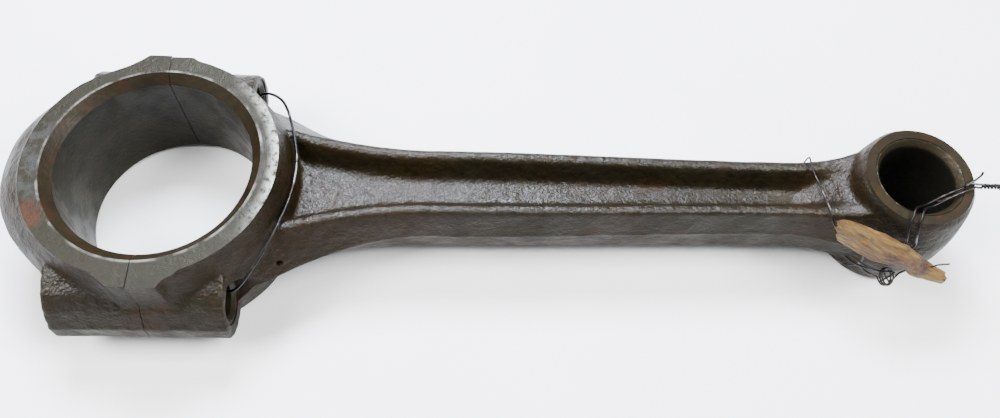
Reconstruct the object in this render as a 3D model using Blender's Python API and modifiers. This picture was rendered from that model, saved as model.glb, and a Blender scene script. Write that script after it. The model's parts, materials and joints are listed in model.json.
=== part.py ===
"""Forged connecting rod with its bearing cap tied on by wire, lying flat, big end towards -X.

Metres, +Z up. +X runs from the big end to the small end, and both bores stand along Z.
The rod is drawn about its own datum, the big-end axis at half thickness; the datum empty
then carries everything so that the origin is the middle of the footprint, on the table.
"""

import math

import bmesh
import bpy
from mathutils import Matrix, Vector

MM = 0.001

# Rod
CENTRE_DISTANCE = 250.0 * MM
GAP = 0.3 * MM
OVERCUT = 6.0 * MM
SHARP_ANGLE = math.radians(35)

# Big end
BIG_BORE_RADIUS = 31.33 * MM
BIG_CHAMFER_WIDTH = 3.13 * MM
BIG_CHAMFER_DEPTH = 2.98 * MM
BIG_LAND_WIDTH = 5.74 * MM
BIG_HALF_THICKNESS = 22.07 * MM
ROD_FLANK_WIDTH = 5.0 * MM
ROD_FLANK_ROUNDNESS = 1.3
CAP_CROWN_WIDTH = 6.2 * MM
CAP_FLANK_ROUNDNESS = 4.0
CAP_CROWN_START = math.radians(122)
CAP_CROWN_FULL = math.radians(172)
LUG_LENGTH = 7.4 * MM
LUG_RUN_OUT = 3.6 * MM
LUG_PROUD = {"near": 3.1 * MM, "far": 1.5 * MM}
FACE_HOLLOW_DEPTH = 1.3 * MM
FACE_HOLLOW_ANGLE = math.radians(117)
FACE_HOLLOW_SPREAD = math.radians(22)
FLANK_LEVELS = (-1.0, -0.86, -0.68, -0.45, -0.2, 0.2, 0.45, 0.68, 0.86, 1.0)
BIG_FACE_RADIUS = BIG_BORE_RADIUS + BIG_CHAMFER_WIDTH + BIG_LAND_WIDTH
ROD_FLANK_RADIUS = BIG_FACE_RADIUS + ROD_FLANK_WIDTH

# Bolt bosses, which a bolt hole and a ring dowel share
BOLT_HOLE_RADIUS = 5.25 * MM
BOLT_WALL = 2.2 * MM
BOLT_MOUTH_CHAMFER = 1.3 * MM
MOUTH_CUTTER_REACH = 3.9 * MM
BOLT_AXIS_Y = BIG_BORE_RADIUS + BOLT_WALL + BOLT_HOLE_RADIUS
SPOT_FACE_RADIUS = 7.8 * MM
SPOT_FACE_DEPTH = 0.4 * MM
SPOT_FACE_REACH = 12.0 * MM
ROD_BOSS_END = 26.0 * MM
CAP_BOSS_END = 30.0 * MM
BOSS_OUTSIDE = 9.3 * MM
BOSS_INSIDE = 5.8 * MM
BOSS_HALF_HEIGHT = 13.0 * MM
FLASH_PROUD = 0.9 * MM
FLASH_TOP = 0.2 * MM
FLASH_BOTTOM = -6.8 * MM
BOSS_UPPER = ((0.0, 1.0), (0.42, 0.88), (0.70, 0.66), (0.92, 0.30))
BOSS_LOWER = ((0.86, -0.82), (0.66, -0.95), (0.0, -1.0))
DOWEL_WALL = 1.0 * MM
DOWEL_HALF_LENGTH = 4.5 * MM

# Shank, an H section that tapers towards the small end
WAIST_FLASH_BIG = 14.3 * MM
WAIST_FLASH_SMALL = 11.3 * MM
WAIST_EDGE_BIG = 12.2 * MM
WAIST_EDGE_SMALL = 10.3 * MM
SHANK_HALF_THICKNESS = 12.5 * MM
FLANGE_WIDTH = 2.8 * MM
WEB_HALF_THICKNESS = 4.5 * MM
POCKET_WALL_RUN = 5.3 * MM
POCKET_WALL_SHARES = (0.3, 0.55, 0.8)
FLANK_KNEE_ACROSS = 0.6
FLANK_KNEE_LEVEL = 0.45
EDGE_ROUND = 0.8 * MM
ROOT_LENGTH = 62.0 * MM
ROOT_SWEEP = 1.9
ROOT_EDGE_SHARE = 0.5
NECK_LENGTH = 20.8 * MM
NECK_DROP = 2.0 * MM
POCKET_RUN_OUT = 18.0 * MM
NECK_HEIGHT_SWEEP = 3.0
NECK_FLASH_SWEEP = 1.4
NECK_EDGE_SWEEP = 1.5
TAPER_START = 65.0 * MM
SHANK_STATIONS = 34
STATION_CROWDING = 0.09

# Small end
PIN_RADIUS = 12.68 * MM
BUSH_WALL = 1.72 * MM
BUSH_CHAMFER_WIDTH = 1.4 * MM
BUSH_CHAMFER_DEPTH = 2.24 * MM
SMALL_HALF_THICKNESS = 21.74 * MM
EYE_LAND_WIDTH = 2.54 * MM
EYE_SHOULDER = 1.6 * MM
EYE_BULGE = 4.3 * MM
EYE_FLANK = ((0.35, 0.72), (0.75, 0.4), (1.0, 0.08))
HOUSING_RADIUS = PIN_RADIUS + BUSH_WALL + GAP
EYE_FACE_RADIUS = HOUSING_RADIUS + EYE_LAND_WIDTH
EYE_BULGE_RADIUS = EYE_FACE_RADIUS + EYE_BULGE
SHANK_END = CENTRE_DISTANCE - HOUSING_RADIUS + EYE_LAND_WIDTH

# Oil spit hole, drilled from the big-end bore out through the shoulder
OIL_HOLE_RADIUS = 0.9 * MM
OIL_HOLE_EXIT = Vector((42.9, -28.3, 4.2)) * MM
OIL_HOLE_ENTRY = Vector((22.0, -15.0, -1.0)) * MM

# Facets
RING_FACETS = 60
EYE_FACETS = 40
HOLE_FACETS = 24

# Wires
CAP_WIRE_RADIUS = 0.5 * MM
SHANK_WIRE_RADIUS = 0.3 * MM
EYE_WIRE_RADIUS = 0.38 * MM
TAG_WIRE_RADIUS = 0.3 * MM
CAP_TWIST_RADIUS = 0.73 * MM
EYE_TWIST_RADIUS = 0.56 * MM
TWIST_POINTS_PER_TURN = 8
COIL_POINTS_PER_TURN = 14
ROUTE_STEP = 0.5
CAP_WIRE_STEP = 2.4
SHANK_WIRE_STEP = 1.6
EYE_WIRE_STEP = 1.3
WIRE_SIDES = 2

# Each route is a wire's centre line in millimetres: round the cap from the big end's axis,
# and the others from the small end's axis.
CAP_WIRE_ROUTE = (
    (-51.4, -1.2, -16.9), (-50.0, -10.0, -16.8), (-46.9, -19.0, -16.8), (-42.4, -26.0, -16.4),
    (-37.8, -31.0, -15.0), (-34.6, -34.2, -10.5), (-33.7, -35.8, -5.0), (-33.3, -36.5, 0.0),
    (-30.6, -36.6, 2.6), (-20.0, -36.4, 3.1), (5.0, -36.4, 3.1), (22.0, -36.4, 3.1),
    (26.6, -36.8, 4.0), (29.6, -35.7, 6.4), (33.2, -31.8, 9.6), (36.9, -26.4, 12.4),
    (40.4, -18.6, 13.9), (43.0, -10.0, 13.9), (44.3, -2.0, 13.9), (44.4, 5.0, 13.9),
    (43.6, 11.0, 13.9), (41.4, 19.4, 13.9), (39.0, 26.2, 12.8), (36.4, 31.0, 11.7),
    (32.8, 34.2, 10.4), (29.4, 35.8, 8.8), (26.4, 36.6, 5.8), (22.0, 36.4, 3.1),
    (5.0, 36.4, 3.1), (-20.0, 36.4, 3.1), (-30.6, 36.6, 2.6), (-33.3, 36.5, 0.0),
    (-33.7, 35.8, -5.0), (-34.6, 34.2, -10.5), (-37.8, 31.0, -15.0), (-42.4, 26.0, -16.4),
    (-46.9, 19.0, -16.8), (-50.0, 10.0, -16.8), (-51.4, 1.2, -16.9),
)
SHANK_WIRE_ROUTE = (
    (-23.2, -15.2, 4.6), (-25.2, -14.2, 8.6), (-27.6, -12.7, 12.0), (-28.5, -10.4, 13.8),
    (-29.0, -7.4, 13.9), (-30.7, 0.9, 13.7), (-31.9, 6.0, 13.6), (-32.1, 10.0, 13.6),
    (-32.1, 11.9, 12.3), (-31.8, 12.8, 6.0), (-31.4, 13.4, 0.0), (-30.8, 13.0, -6.0),
    (-30.0, 12.2, -12.3), (-29.0, 10.0, -14.4), (-24.2, 1.0, -14.6), (-18.0, -9.1, -18.1),
    (-13.9, -14.7, -16.2), (-12.2, -18.2, -9.0), (-13.0, -18.6, -2.0), (-15.8, -17.3, 2.2),
    (-18.6, -16.2, 3.8),
)
EYE_WIRE_FIRST = (
    (18.4, -3.2, 22.5), (16.0, -3.1, 22.7), (12.4, -4.6, 22.6), (6.4, -7.0, 21.7),
    (0.8, -9.6, 20.6), (-2.4, -11.2, 21.6), (-4.8, -12.6, 23.0), (-6.4, -15.6, 22.8),
    (-7.3, -18.0, 20.9), (-7.0, -20.4, 17.6), (-5.8, -21.5, 13.4),
)
EYE_WIRE_SECOND = (
    (-3.6, -21.7, 12.2), (-3.3, -21.7, 14.6), (-4.1, -20.6, 18.0), (-4.3, -18.6, 20.8),
    (-3.8, -16.2, 22.7), (-2.4, -13.4, 23.0), (-0.4, -11.8, 21.8), (2.4, -10.6, 21.0),
    (7.4, -8.2, 21.8), (13.2, -5.8, 22.6), (16.6, -4.4, 22.7), (18.4, -3.9, 21.6),
)
EYE_TAIL_ROUTE = ((19.6, -3.5, 22.0), (22.4, -3.6, 22.0), (25.6, -3.6, 21.8), (28.0, -5.2, 20.6))
EYE_TAIL_TURNS = 4.0
CAP_TAIL_ROUTE = ((-51.6, 0.0, -17.4), (-52.0, 1.6, -18.6), (-51.6, 5.0, -19.4), (-50.4, 9.0, -19.6))
CAP_TAIL_TURNS = 2.5

# The splinter of wood, as its top edge, its bottom edge and its thickness at each station.
# It and its wire are in millimetres from the near flank of the small end.
SPLINTER_STATIONS = (
    ((-28.4, 6.9, 16.2), (-25.7, 3.9, 7.9), 1.6),
    ((-26.6, 6.2, 18.6), (-21.8, 2.5, 6.0), 2.0),
    ((-21.8, 4.1, 19.0), (-17.4, 0.1, 5.0), 2.2),
    ((-16.0, 1.3, 19.0), (-12.6, -3.4, 6.4), 2.4),
    ((-9.7, -0.9, 17.4), (-6.8, -5.7, 8.2), 2.4),
    ((-3.6, -2.7, 14.2), (-1.2, -7.1, 4.4), 2.4),
    ((3.1, -4.1, 8.9), (5.6, -7.5, 1.6), 2.2),
    ((9.7, -5.9, 5.6), (10.7, -7.9, 0.2), 1.4),
)
SPLINTER_CROWN = 0.9
SPLINTER_EDGE_SHARE = 0.8
SPLINTER_OUTER = (0.3, 0.72)
SPLINTER_INNER = (0.3, 0.75)
TAG_COIL_CENTRE = (-8.4, -5.9, 1.6)
TAG_COIL_RADIUS = 2.9
TAG_COIL_TURNS = 2.25
TAG_COIL_PITCH = 1.0
TAG_COIL_NORMAL = (0.40, -0.35, 0.85)
TAG_WIRE_LEAD = ((-16.4, -1.9, 1.2), (-14.4, -3.5, 0.4), (-11.8, -4.7, -0.4))
TAG_WIRE_END = ((-4.4, -5.1, 3.2), (-2.6, -4.5, 3.4))


def clear_scene():
    """Remove what the scene holds before the rod is built."""
    for obj in list(bpy.data.objects):
        bpy.data.objects.remove(obj, do_unlink=True)


def new_collection(name):
    collection = bpy.data.collections.new(name)
    bpy.context.scene.collection.children.link(collection)
    return collection


def make_material(name, colour, roughness, metallic):
    material = bpy.data.materials.new(name)
    material.use_nodes = True
    shader = material.node_tree.nodes["Principled BSDF"]
    shader.inputs["Base Color"].default_value = (*colour, 1.0)
    shader.inputs["Roughness"].default_value = roughness
    shader.inputs["Metallic"].default_value = metallic
    return material


def add_object(name, mesh, collection, material=None):
    obj = bpy.data.objects.new(name, mesh)
    collection.objects.link(obj)
    obj.parent = bpy.data.objects["rod_datum"]
    if material is not None:
        mesh.materials.append(material)
    return obj


def smooth(value):
    """Ease from 0 to 1 as value goes from 0 to 1."""
    held = min(max(value, 0.0), 1.0)
    return held * held * (3.0 - 2.0 * held)


def blend(start, end, share):
    return start + (end - start) * share


def loft(name, sections, closed, collection, material=None):
    """Skin a row of sections with equal counts of points, either round to the first or capped."""
    shape = bmesh.new()
    rows = [[shape.verts.new(point) for point in section] for section in sections]
    pairs = list(zip(rows, rows[1:]))
    if closed:
        pairs.append((rows[-1], rows[0]))
    for first, second in pairs:
        count = len(first)
        for index in range(count):
            after = (index + 1) % count
            shape.faces.new((first[index], first[after], second[after], second[index]))
    if not closed:
        shape.faces.new(rows[0])
        shape.faces.new(rows[-1])
    bmesh.ops.recalc_face_normals(shape, faces=shape.faces)
    mesh = bpy.data.meshes.new(name)
    shape.to_mesh(mesh)
    shape.free()
    mesh.shade_smooth()
    mesh.set_sharp_from_angle(angle=SHARP_ANGLE)
    return add_object(name, mesh, collection, material)


def turned(name, profile, facets, collection, material=None):
    """Turn a profile of (radius, height) about Z. A closed profile makes a ring."""
    mesh = bpy.data.meshes.new(name)
    points = [(radius, 0.0, height) for radius, height in profile]
    edges = [(index, index + 1) for index in range(len(points) - 1)]
    if profile[0][0] > 0.0:
        edges.append((len(points) - 1, 0))
    mesh.from_pydata(points, edges, [])
    obj = add_object(name, mesh, collection, material)
    screw = obj.modifiers.new("Turn", "SCREW")
    screw.steps = facets
    screw.render_steps = facets
    screw.use_merge_vertices = True
    screw.merge_threshold = 0.00001
    screw.use_smooth_shade = False
    return obj


def box(name, low, high, collection):
    """Add a box between two corners."""
    shape = bmesh.new()
    bmesh.ops.create_cube(shape, size=1.0)
    size = high - low
    bmesh.ops.transform(shape, matrix=Matrix.Diagonal((*size, 1.0)), verts=shape.verts)
    bmesh.ops.translate(shape, vec=(low + high) / 2.0, verts=shape.verts)
    mesh = bpy.data.meshes.new(name)
    shape.to_mesh(mesh)
    shape.free()
    return add_object(name, mesh, collection)


def rod_between(name, start, end, radius, collection):
    """Add a round bar from start to end."""
    along = end - start
    shape = bmesh.new()
    bmesh.ops.create_cone(
        shape, cap_ends=True, segments=HOLE_FACETS,
        radius1=radius, radius2=radius, depth=along.length,
    )
    turn = along.to_track_quat("Z", "Y").to_matrix().to_4x4()
    place = Matrix.Translation((start + end) / 2.0) @ turn
    bmesh.ops.transform(shape, matrix=place, verts=shape.verts)
    mesh = bpy.data.meshes.new(name)
    shape.to_mesh(mesh)
    shape.free()
    return add_object(name, mesh, collection)


def combine(target, other, operation):
    """Add a Boolean modifier that joins other to target, or cuts it away."""
    modifier = target.modifiers.new(other.name[:40], "BOOLEAN")
    modifier.operation = operation
    modifier.solver = "EXACT"
    modifier.object = other


def hide_helpers(collection):
    for obj in collection.objects:
        obj.hide_render = True
        obj.display_type = "WIRE"


def route_points(route, spacing):
    """Points along a smooth curve through the route, about spacing apart."""
    knots = [Vector(point) for point in route]
    knots = [2.0 * knots[0] - knots[1]] + knots + [2.0 * knots[-1] - knots[-2]]
    points = []
    for before, start, end, after in zip(knots, knots[1:], knots[2:], knots[3:]):
        steps = max(1, round((end - start).length / spacing))
        for step in range(steps):
            share = step / steps
            bend_start = (end - before) * (share - 2.0 * share**2 + share**3) / 2.0
            bend_end = (after - start) * (share**3 - share**2) / 2.0
            line = start.lerp(end, smooth(share))
            points.append(line + bend_start + bend_end)
    points.append(knots[-2])
    return points


def from_axis(route, along, across):
    """A route's points moved by a distance along and a distance across the rod."""
    shift = Vector((along, across, 0.0)) / MM
    return [Vector(point) + shift for point in route]


def twisted(route, turns, phase, radius):
    """A strand of a twisted pair that winds round the route, which is in millimetres."""
    line = route_points(route, ROUTE_STEP)
    count = max(2, round(turns * TWIST_POINTS_PER_TURN))
    strand_side = (line[1] - line[0]).orthogonal().normalized()
    strand = []
    for step in range(count + 1):
        share = step / count * (len(line) - 1)
        index = min(int(share), len(line) - 2)
        centre = line[index].lerp(line[index + 1], share - index)
        ahead = (line[index + 1] - line[index]).normalized()
        side = ahead.orthogonal().normalized()
        if side.dot(strand_side) < 0.0:
            side = -side
        strand_side = side
        across = ahead.cross(side)
        angle = phase + 2.0 * math.pi * turns * step / count
        offset = side * math.cos(angle) + across * math.sin(angle)
        strand.append(centre + offset * (radius / MM))
    return strand


def wire(name, points, radius, material, collection):
    """A bent wire with round section through points in millimetres."""
    curve = bpy.data.curves.new(name, "CURVE")
    curve.dimensions = "3D"
    curve.bevel_depth = radius
    curve.bevel_resolution = WIRE_SIDES
    curve.use_fill_caps = True
    spline = curve.splines.new("POLY")
    spline.points.add(len(points) - 1)
    for knot, point in zip(spline.points, points):
        knot.co = (*(Vector(point) * MM), 1.0)
    curve.materials.append(material)
    obj = bpy.data.objects.new(name, curve)
    collection.objects.link(obj)
    obj.parent = bpy.data.objects["rod_datum"]
    return obj


def crown_share(angle):
    """How far the cap's crown has grown at an angle from +X: 0 beside the bosses, 1 at the back."""
    return smooth((abs(angle) - CAP_CROWN_START) / (CAP_CROWN_FULL - CAP_CROWN_START))


def ring_section(angle):
    """The big end's ring at one angle, from inside the bore out to the forged flank."""
    crown = crown_share(angle)
    flank = ROD_FLANK_WIDTH + CAP_CROWN_WIDTH * crown
    roundness = blend(ROD_FLANK_ROUNDNESS, CAP_FLANK_ROUNDNESS, crown)
    inside = BIG_BORE_RADIUS - BIG_CHAMFER_WIDTH
    hollow = FACE_HOLLOW_DEPTH * smooth(1.0 - abs(angle - FACE_HOLLOW_ANGLE) / FACE_HOLLOW_SPREAD)
    outline = [(inside, -BIG_HALF_THICKNESS)]
    for level in FLANK_LEVELS:
        radius = BIG_FACE_RADIUS - hollow + flank * (1.0 - abs(level) ** roundness)
        outline.append((radius, level * BIG_HALF_THICKNESS))
    outline.append((inside, BIG_HALF_THICKNESS))
    ray = Vector((math.cos(angle), math.sin(angle), 0.0))
    return [ray * radius + Vector((0.0, 0.0, height)) for radius, height in outline]


def big_end_ring(name, collection, material):
    turn = 2.0 * math.pi / RING_FACETS
    angles = [turn * (step - RING_FACETS // 2) for step in range(RING_FACETS)]
    sections = [ring_section(angle) for angle in angles]
    return loft(name, sections, True, collection, material)


def face_lug(label, side, collection):
    """The wider patch of machined face beside the parting plane."""
    inner = side * (BIG_BORE_RADIUS + BIG_CHAMFER_WIDTH)
    outer = side * (BIG_FACE_RADIUS + LUG_PROUD[label])
    reach = LUG_LENGTH + LUG_RUN_OUT
    outline = ((-reach, inner), (-LUG_LENGTH, outer), (LUG_LENGTH, outer), (reach, inner))
    sections = []
    for height in (-BIG_HALF_THICKNESS, BIG_HALF_THICKNESS):
        sections.append([Vector((along, across, height)) for along, across in outline])
    return loft(f"lug_{label}", sections, False, collection)


def bolt_boss(name, side, collection):
    """The boss round one bolt hole, whole, before the parting plane divides it."""
    outer = BOLT_AXIS_Y + BOSS_OUTSIDE
    inner = BOLT_AXIS_Y - BOSS_INSIDE
    flash = outer + FLASH_PROUD
    rounded = [[(blend(inner, outer, out), level * BOSS_HALF_HEIGHT) for out, level in shares]
               for shares in (BOSS_UPPER, BOSS_LOWER)]
    flash_band = [
        (outer, FLASH_TOP + FLASH_PROUD), (flash, FLASH_TOP),
        (flash, FLASH_BOTTOM), (outer, FLASH_BOTTOM - FLASH_PROUD),
    ]
    outline = rounded[0] + flash_band + rounded[1]
    sections = []
    for along in (-CAP_BOSS_END, ROD_BOSS_END):
        sections.append([Vector((along, side * across, height)) for across, height in outline])
    return loft(name, sections, False, collection)


def shank_section(along):
    """The H section at one distance from the big end's axis."""
    root = ROD_BOSS_END
    flare = max(0.0, 1.0 - (along - root) / ROOT_LENGTH)
    root_spread = (BOLT_AXIS_Y - WAIST_FLASH_BIG) * flare**ROOT_SWEEP
    neck_start = CENTRE_DISTANCE - EYE_FACE_RADIUS - NECK_LENGTH
    neck = max(0.0, along - neck_start) / (SHANK_END - neck_start)
    taper = smooth((along - root - TAPER_START) / (neck_start - root - TAPER_START))
    flash = blend(WAIST_FLASH_BIG, WAIST_FLASH_SMALL, taper) + root_spread
    edge = blend(WAIST_EDGE_BIG, WAIST_EDGE_SMALL, taper) + ROOT_EDGE_SHARE * root_spread
    neck_top = SMALL_HALF_THICKNESS - NECK_DROP
    height = blend(SHANK_HALF_THICKNESS, neck_top, neck**NECK_HEIGHT_SWEEP)
    flash = blend(flash, EYE_FACE_RADIUS, neck**NECK_FLASH_SWEEP)
    edge = blend(edge, EYE_FACE_RADIUS - EYE_BULGE, neck**NECK_EDGE_SWEEP)
    rise = smooth((along - neck_start) / POCKET_RUN_OUT)
    floor = blend(WEB_HALF_THICKNESS, height - EDGE_ROUND, rise)
    pocket = edge - FLANGE_WIDTH
    foot = pocket - POCKET_WALL_RUN
    quarter = [(0.0, floor), (foot, floor)]
    for share in POCKET_WALL_SHARES:
        quarter.append((foot + POCKET_WALL_RUN * share, blend(floor, height, smooth(share))))
    quarter.append((pocket, height))
    quarter.append((edge - EDGE_ROUND, height))
    quarter.append((edge, height - EDGE_ROUND))
    quarter.append((blend(edge, flash, FLANK_KNEE_ACROSS), FLANK_KNEE_LEVEL * height))
    quarter.append((flash, 0.0))
    upper = quarter + [(across, -level) for across, level in reversed(quarter[:-1])]
    outline = upper + [(-across, level) for across, level in reversed(upper[1:-1])]
    return [Vector((along, across, level)) for across, level in outline]


def shank(name, collection):
    start = ROD_BOSS_END + GAP
    sections = []
    for step in range(SHANK_STATIONS):
        share = step / (SHANK_STATIONS - 1)
        crowded = share - STATION_CROWDING * math.sin(2.0 * math.pi * share)
        sections.append(shank_section(blend(start, SHANK_END, crowded)))
    return loft(name, sections, False, collection)


def small_end_eye(name, collection):
    """The small end's barrel, which swells to a flash line at half thickness."""
    shoulder = EYE_FACE_RADIUS + EYE_SHOULDER
    bulge = EYE_BULGE_RADIUS
    top = SMALL_HALF_THICKNESS
    inside = PIN_RADIUS - BUSH_WALL
    upper = [(inside, top), (EYE_FACE_RADIUS, top), (shoulder, top - EYE_SHOULDER)]
    upper += [(blend(shoulder, bulge, out), level * top) for out, level in EYE_FLANK]
    profile = upper + [(radius, -height) for radius, height in reversed(upper)]
    eye = turned(name, profile, EYE_FACETS, collection)
    eye.location.x = CENTRE_DISTANCE
    return eye


def chamfered_cutter(name, radius, chamfer_width, chamfer_depth, half_length, facets, collection):
    """A cutter for a bore along Z whose two mouths are chamfered."""
    slope = chamfer_width / chamfer_depth
    wide = radius + chamfer_width + slope * OVERCUT
    outer = half_length + OVERCUT
    profile = (
        (0.0, outer), (wide, outer), (radius, half_length - chamfer_depth),
        (radius, chamfer_depth - half_length), (wide, -outer), (0.0, -outer),
    )
    return turned(name, profile, facets, collection)


def bolt_hole_cutters(side, collection):
    """The cutters of one bolt hole: its bore, its mouth's chamfer and the seat behind it."""
    label = "near" if side < 0 else "far"
    axis = Vector((0.0, side * BOLT_AXIS_Y, 0.0))
    along = Vector((1.0, 0.0, 0.0))
    bore = rod_between(
        f"cut_bolt_hole_{label}", axis - along * (CAP_BOSS_END + OVERCUT),
        axis + along * (ROD_BOSS_END + OVERCUT), BOLT_HOLE_RADIUS, collection,
    )
    seat_level = ROD_BOSS_END - SPOT_FACE_DEPTH
    seat = rod_between(
        f"cut_bolt_seat_{label}", axis + along * seat_level,
        axis + along * (ROD_BOSS_END + SPOT_FACE_REACH), SPOT_FACE_RADIUS, collection,
    )
    mouth = bmesh.new()
    bmesh.ops.create_cone(
        mouth, cap_ends=True, segments=HOLE_FACETS,
        radius1=BOLT_HOLE_RADIUS - BOLT_MOUTH_CHAMFER,
        radius2=BOLT_HOLE_RADIUS + MOUTH_CUTTER_REACH,
        depth=BOLT_MOUTH_CHAMFER + MOUTH_CUTTER_REACH,
    )
    turn = along.to_track_quat("Z", "Y").to_matrix().to_4x4()
    middle = seat_level + (MOUTH_CUTTER_REACH - BOLT_MOUTH_CHAMFER) / 2.0 - BOLT_MOUTH_CHAMFER
    place = Matrix.Translation(axis + along * middle) @ turn
    bmesh.ops.transform(mouth, matrix=place, verts=mouth.verts)
    mesh = bpy.data.meshes.new(f"cut_bolt_mouth_{label}")
    mouth.to_mesh(mesh)
    mouth.free()
    chamfer = add_object(mesh.name, mesh, collection)
    dowel_seat = rod_between(
        f"cut_dowel_seat_{label}", axis - along * (DOWEL_HALF_LENGTH + GAP),
        axis + along * (DOWEL_HALF_LENGTH + GAP),
        BOLT_HOLE_RADIUS + DOWEL_WALL + GAP, collection,
    )
    return {"bore": bore, "seat": seat, "chamfer": chamfer, "dowel_seat": dowel_seat}


def ring_dowel(label, side, collection, material):
    """A hollow dowel round one bolt hole, which keeps the cap in line with the rod."""
    name = f"ring_dowel_{label}"
    outer = BOLT_HOLE_RADIUS + DOWEL_WALL
    profile = (
        (BOLT_HOLE_RADIUS, DOWEL_HALF_LENGTH), (outer, DOWEL_HALF_LENGTH),
        (outer, -DOWEL_HALF_LENGTH), (BOLT_HOLE_RADIUS, -DOWEL_HALF_LENGTH),
    )
    dowel = turned(name, profile, HOLE_FACETS, collection, material)
    dowel.location.y = side * BOLT_AXIS_Y
    dowel.rotation_euler.y = math.radians(90)
    return dowel


def small_end_bush(collection, material):
    """The bronze bush pressed into the eye, chamfered at both mouths."""
    outer = PIN_RADIUS + BUSH_WALL
    top = SMALL_HALF_THICKNESS
    lip = PIN_RADIUS + BUSH_CHAMFER_WIDTH
    profile = (
        (lip, top), (outer, top), (outer, -top), (lip, -top),
        (PIN_RADIUS, BUSH_CHAMFER_DEPTH - top), (PIN_RADIUS, top - BUSH_CHAMFER_DEPTH),
    )
    bush = turned("small_end_bush", profile, EYE_FACETS, collection, material)
    bush.location.x = CENTRE_DISTANCE
    return bush


def splinter_sections():
    """Six-sided sections of the splinter, thickest along its middle."""
    sections = []
    ahead = Vector(SPLINTER_STATIONS[-1][0]) - Vector(SPLINTER_STATIONS[0][0])
    for top, bottom, thickness in SPLINTER_STATIONS:
        high, low = from_axis((top, bottom), CENTRE_DISTANCE, -EYE_BULGE_RADIUS)
        out = ahead.cross(high - low).normalized()
        crowns = (SPLINTER_CROWN, SPLINTER_CROWN * SPLINTER_EDGE_SHARE)
        backs = (thickness, thickness * SPLINTER_EDGE_SHARE)
        outer = [high.lerp(low, down) + out * crown for down, crown in zip(SPLINTER_OUTER, crowns)]
        inner = [low.lerp(high, up) - out * back for up, back in zip(SPLINTER_INNER, backs)]
        section = [high] + outer + [low] + inner
        sections.append([point * MM for point in section])
    return sections


def tag_wire_points():
    """The wire on the splinter: a lead, a small round coil and a short end."""
    normal = Vector(TAG_COIL_NORMAL).normalized()
    side = normal.orthogonal().normalized()
    across = normal.cross(side)
    centre = Vector(TAG_COIL_CENTRE)
    points = [Vector(point) for point in TAG_WIRE_LEAD]
    count = round(TAG_COIL_TURNS * COIL_POINTS_PER_TURN)
    start = points[-1] - centre
    phase = math.atan2(start.dot(across), start.dot(side))
    for step in range(1, count):
        turn = 2.0 * math.pi * TAG_COIL_TURNS * step / count
        ray = side * math.cos(phase + turn) + across * math.sin(phase + turn)
        lift = normal * (TAG_COIL_PITCH * TAG_COIL_TURNS * (step / count - 0.5))
        points.append(centre + ray * TAG_COIL_RADIUS + lift)
    points.extend(Vector(point) for point in TAG_WIRE_END)
    return from_axis(points, CENTRE_DISTANCE, -EYE_BULGE_RADIUS)


def build_forgings(parts, cutters, steel):
    """The rod and its cap, cut from one big end along the parting plane."""
    bosses = [bolt_boss("boss_near", -1, cutters), bolt_boss("boss_far", 1, cutters)]
    lugs = [face_lug("near", -1, cutters), face_lug("far", 1, cutters)]
    bore = chamfered_cutter(
        "cut_big_bore", BIG_BORE_RADIUS, BIG_CHAMFER_WIDTH, BIG_CHAMFER_DEPTH,
        BIG_HALF_THICKNESS, RING_FACETS, cutters,
    )
    housing = chamfered_cutter(
        "cut_housing", HOUSING_RADIUS, GAP, GAP, SMALL_HALF_THICKNESS, EYE_FACETS, cutters,
    )
    housing.location.x = CENTRE_DISTANCE
    holes = [bolt_hole_cutters(-1, cutters), bolt_hole_cutters(1, cutters)]
    oil_hole = rod_between(
        "cut_oil_hole", OIL_HOLE_ENTRY, OIL_HOLE_EXIT, OIL_HOLE_RADIUS, cutters,
    )
    reach = 2.0 * BIG_FACE_RADIUS
    half = GAP / 2.0
    cap_side = box(
        "cut_cap_side", Vector((-reach, -reach, -reach)), Vector((half, reach, reach)), cutters,
    )
    rod_side = box(
        "cut_rod_side", Vector((-half, -reach, -reach)), Vector((reach, reach, reach)), cutters,
    )

    rod = big_end_ring("rod_forging", parts, steel)
    cap = big_end_ring("big_end_cap", parts, steel)
    for piece in (rod, cap):
        for addition in bosses + lugs:
            combine(piece, addition, "UNION")
    combine(rod, shank("shank", cutters), "UNION")
    combine(rod, small_end_eye("eye", cutters), "UNION")
    combine(rod, housing, "DIFFERENCE")
    combine(rod, oil_hole, "DIFFERENCE")
    for piece, other_half in ((rod, cap_side), (cap, rod_side)):
        combine(piece, bore, "DIFFERENCE")
        for hole in holes:
            combine(piece, hole["bore"], "DIFFERENCE")
            combine(piece, hole["dowel_seat"], "DIFFERENCE")
        combine(piece, other_half, "DIFFERENCE")
    for hole in holes:
        combine(rod, hole["seat"], "DIFFERENCE")
        combine(rod, hole["chamfer"], "DIFFERENCE")
    return rod, cap


def build_wires(parts, iron):
    """The tie wires, each one bent wire."""
    strands = [twisted(CAP_TAIL_ROUTE, CAP_TAIL_TURNS, phase, CAP_TWIST_RADIUS)
               for phase in (0.0, math.pi)]
    loop = route_points(CAP_WIRE_ROUTE, CAP_WIRE_STEP)[1:-1]
    tie = strands[0][::-1] + loop + strands[1]
    wire("cap_tie_wire", tie, CAP_WIRE_RADIUS, iron, parts)

    winding = from_axis(route_points(SHANK_WIRE_ROUTE, SHANK_WIRE_STEP), CENTRE_DISTANCE, 0.0)
    wire("shank_wire", winding, SHANK_WIRE_RADIUS, iron, parts)

    strands = [twisted(EYE_TAIL_ROUTE, EYE_TAIL_TURNS, phase, EYE_TWIST_RADIUS)
               for phase in (0.0, math.pi)]
    loop = route_points(EYE_WIRE_FIRST + EYE_WIRE_SECOND, EYE_WIRE_STEP)
    sling = from_axis(strands[0][::-1] + loop + strands[1], CENTRE_DISTANCE, 0.0)
    wire("eye_wire", sling, EYE_WIRE_RADIUS, iron, parts)
    wire("tag_wire", tag_wire_points(), TAG_WIRE_RADIUS, iron, parts)


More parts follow.
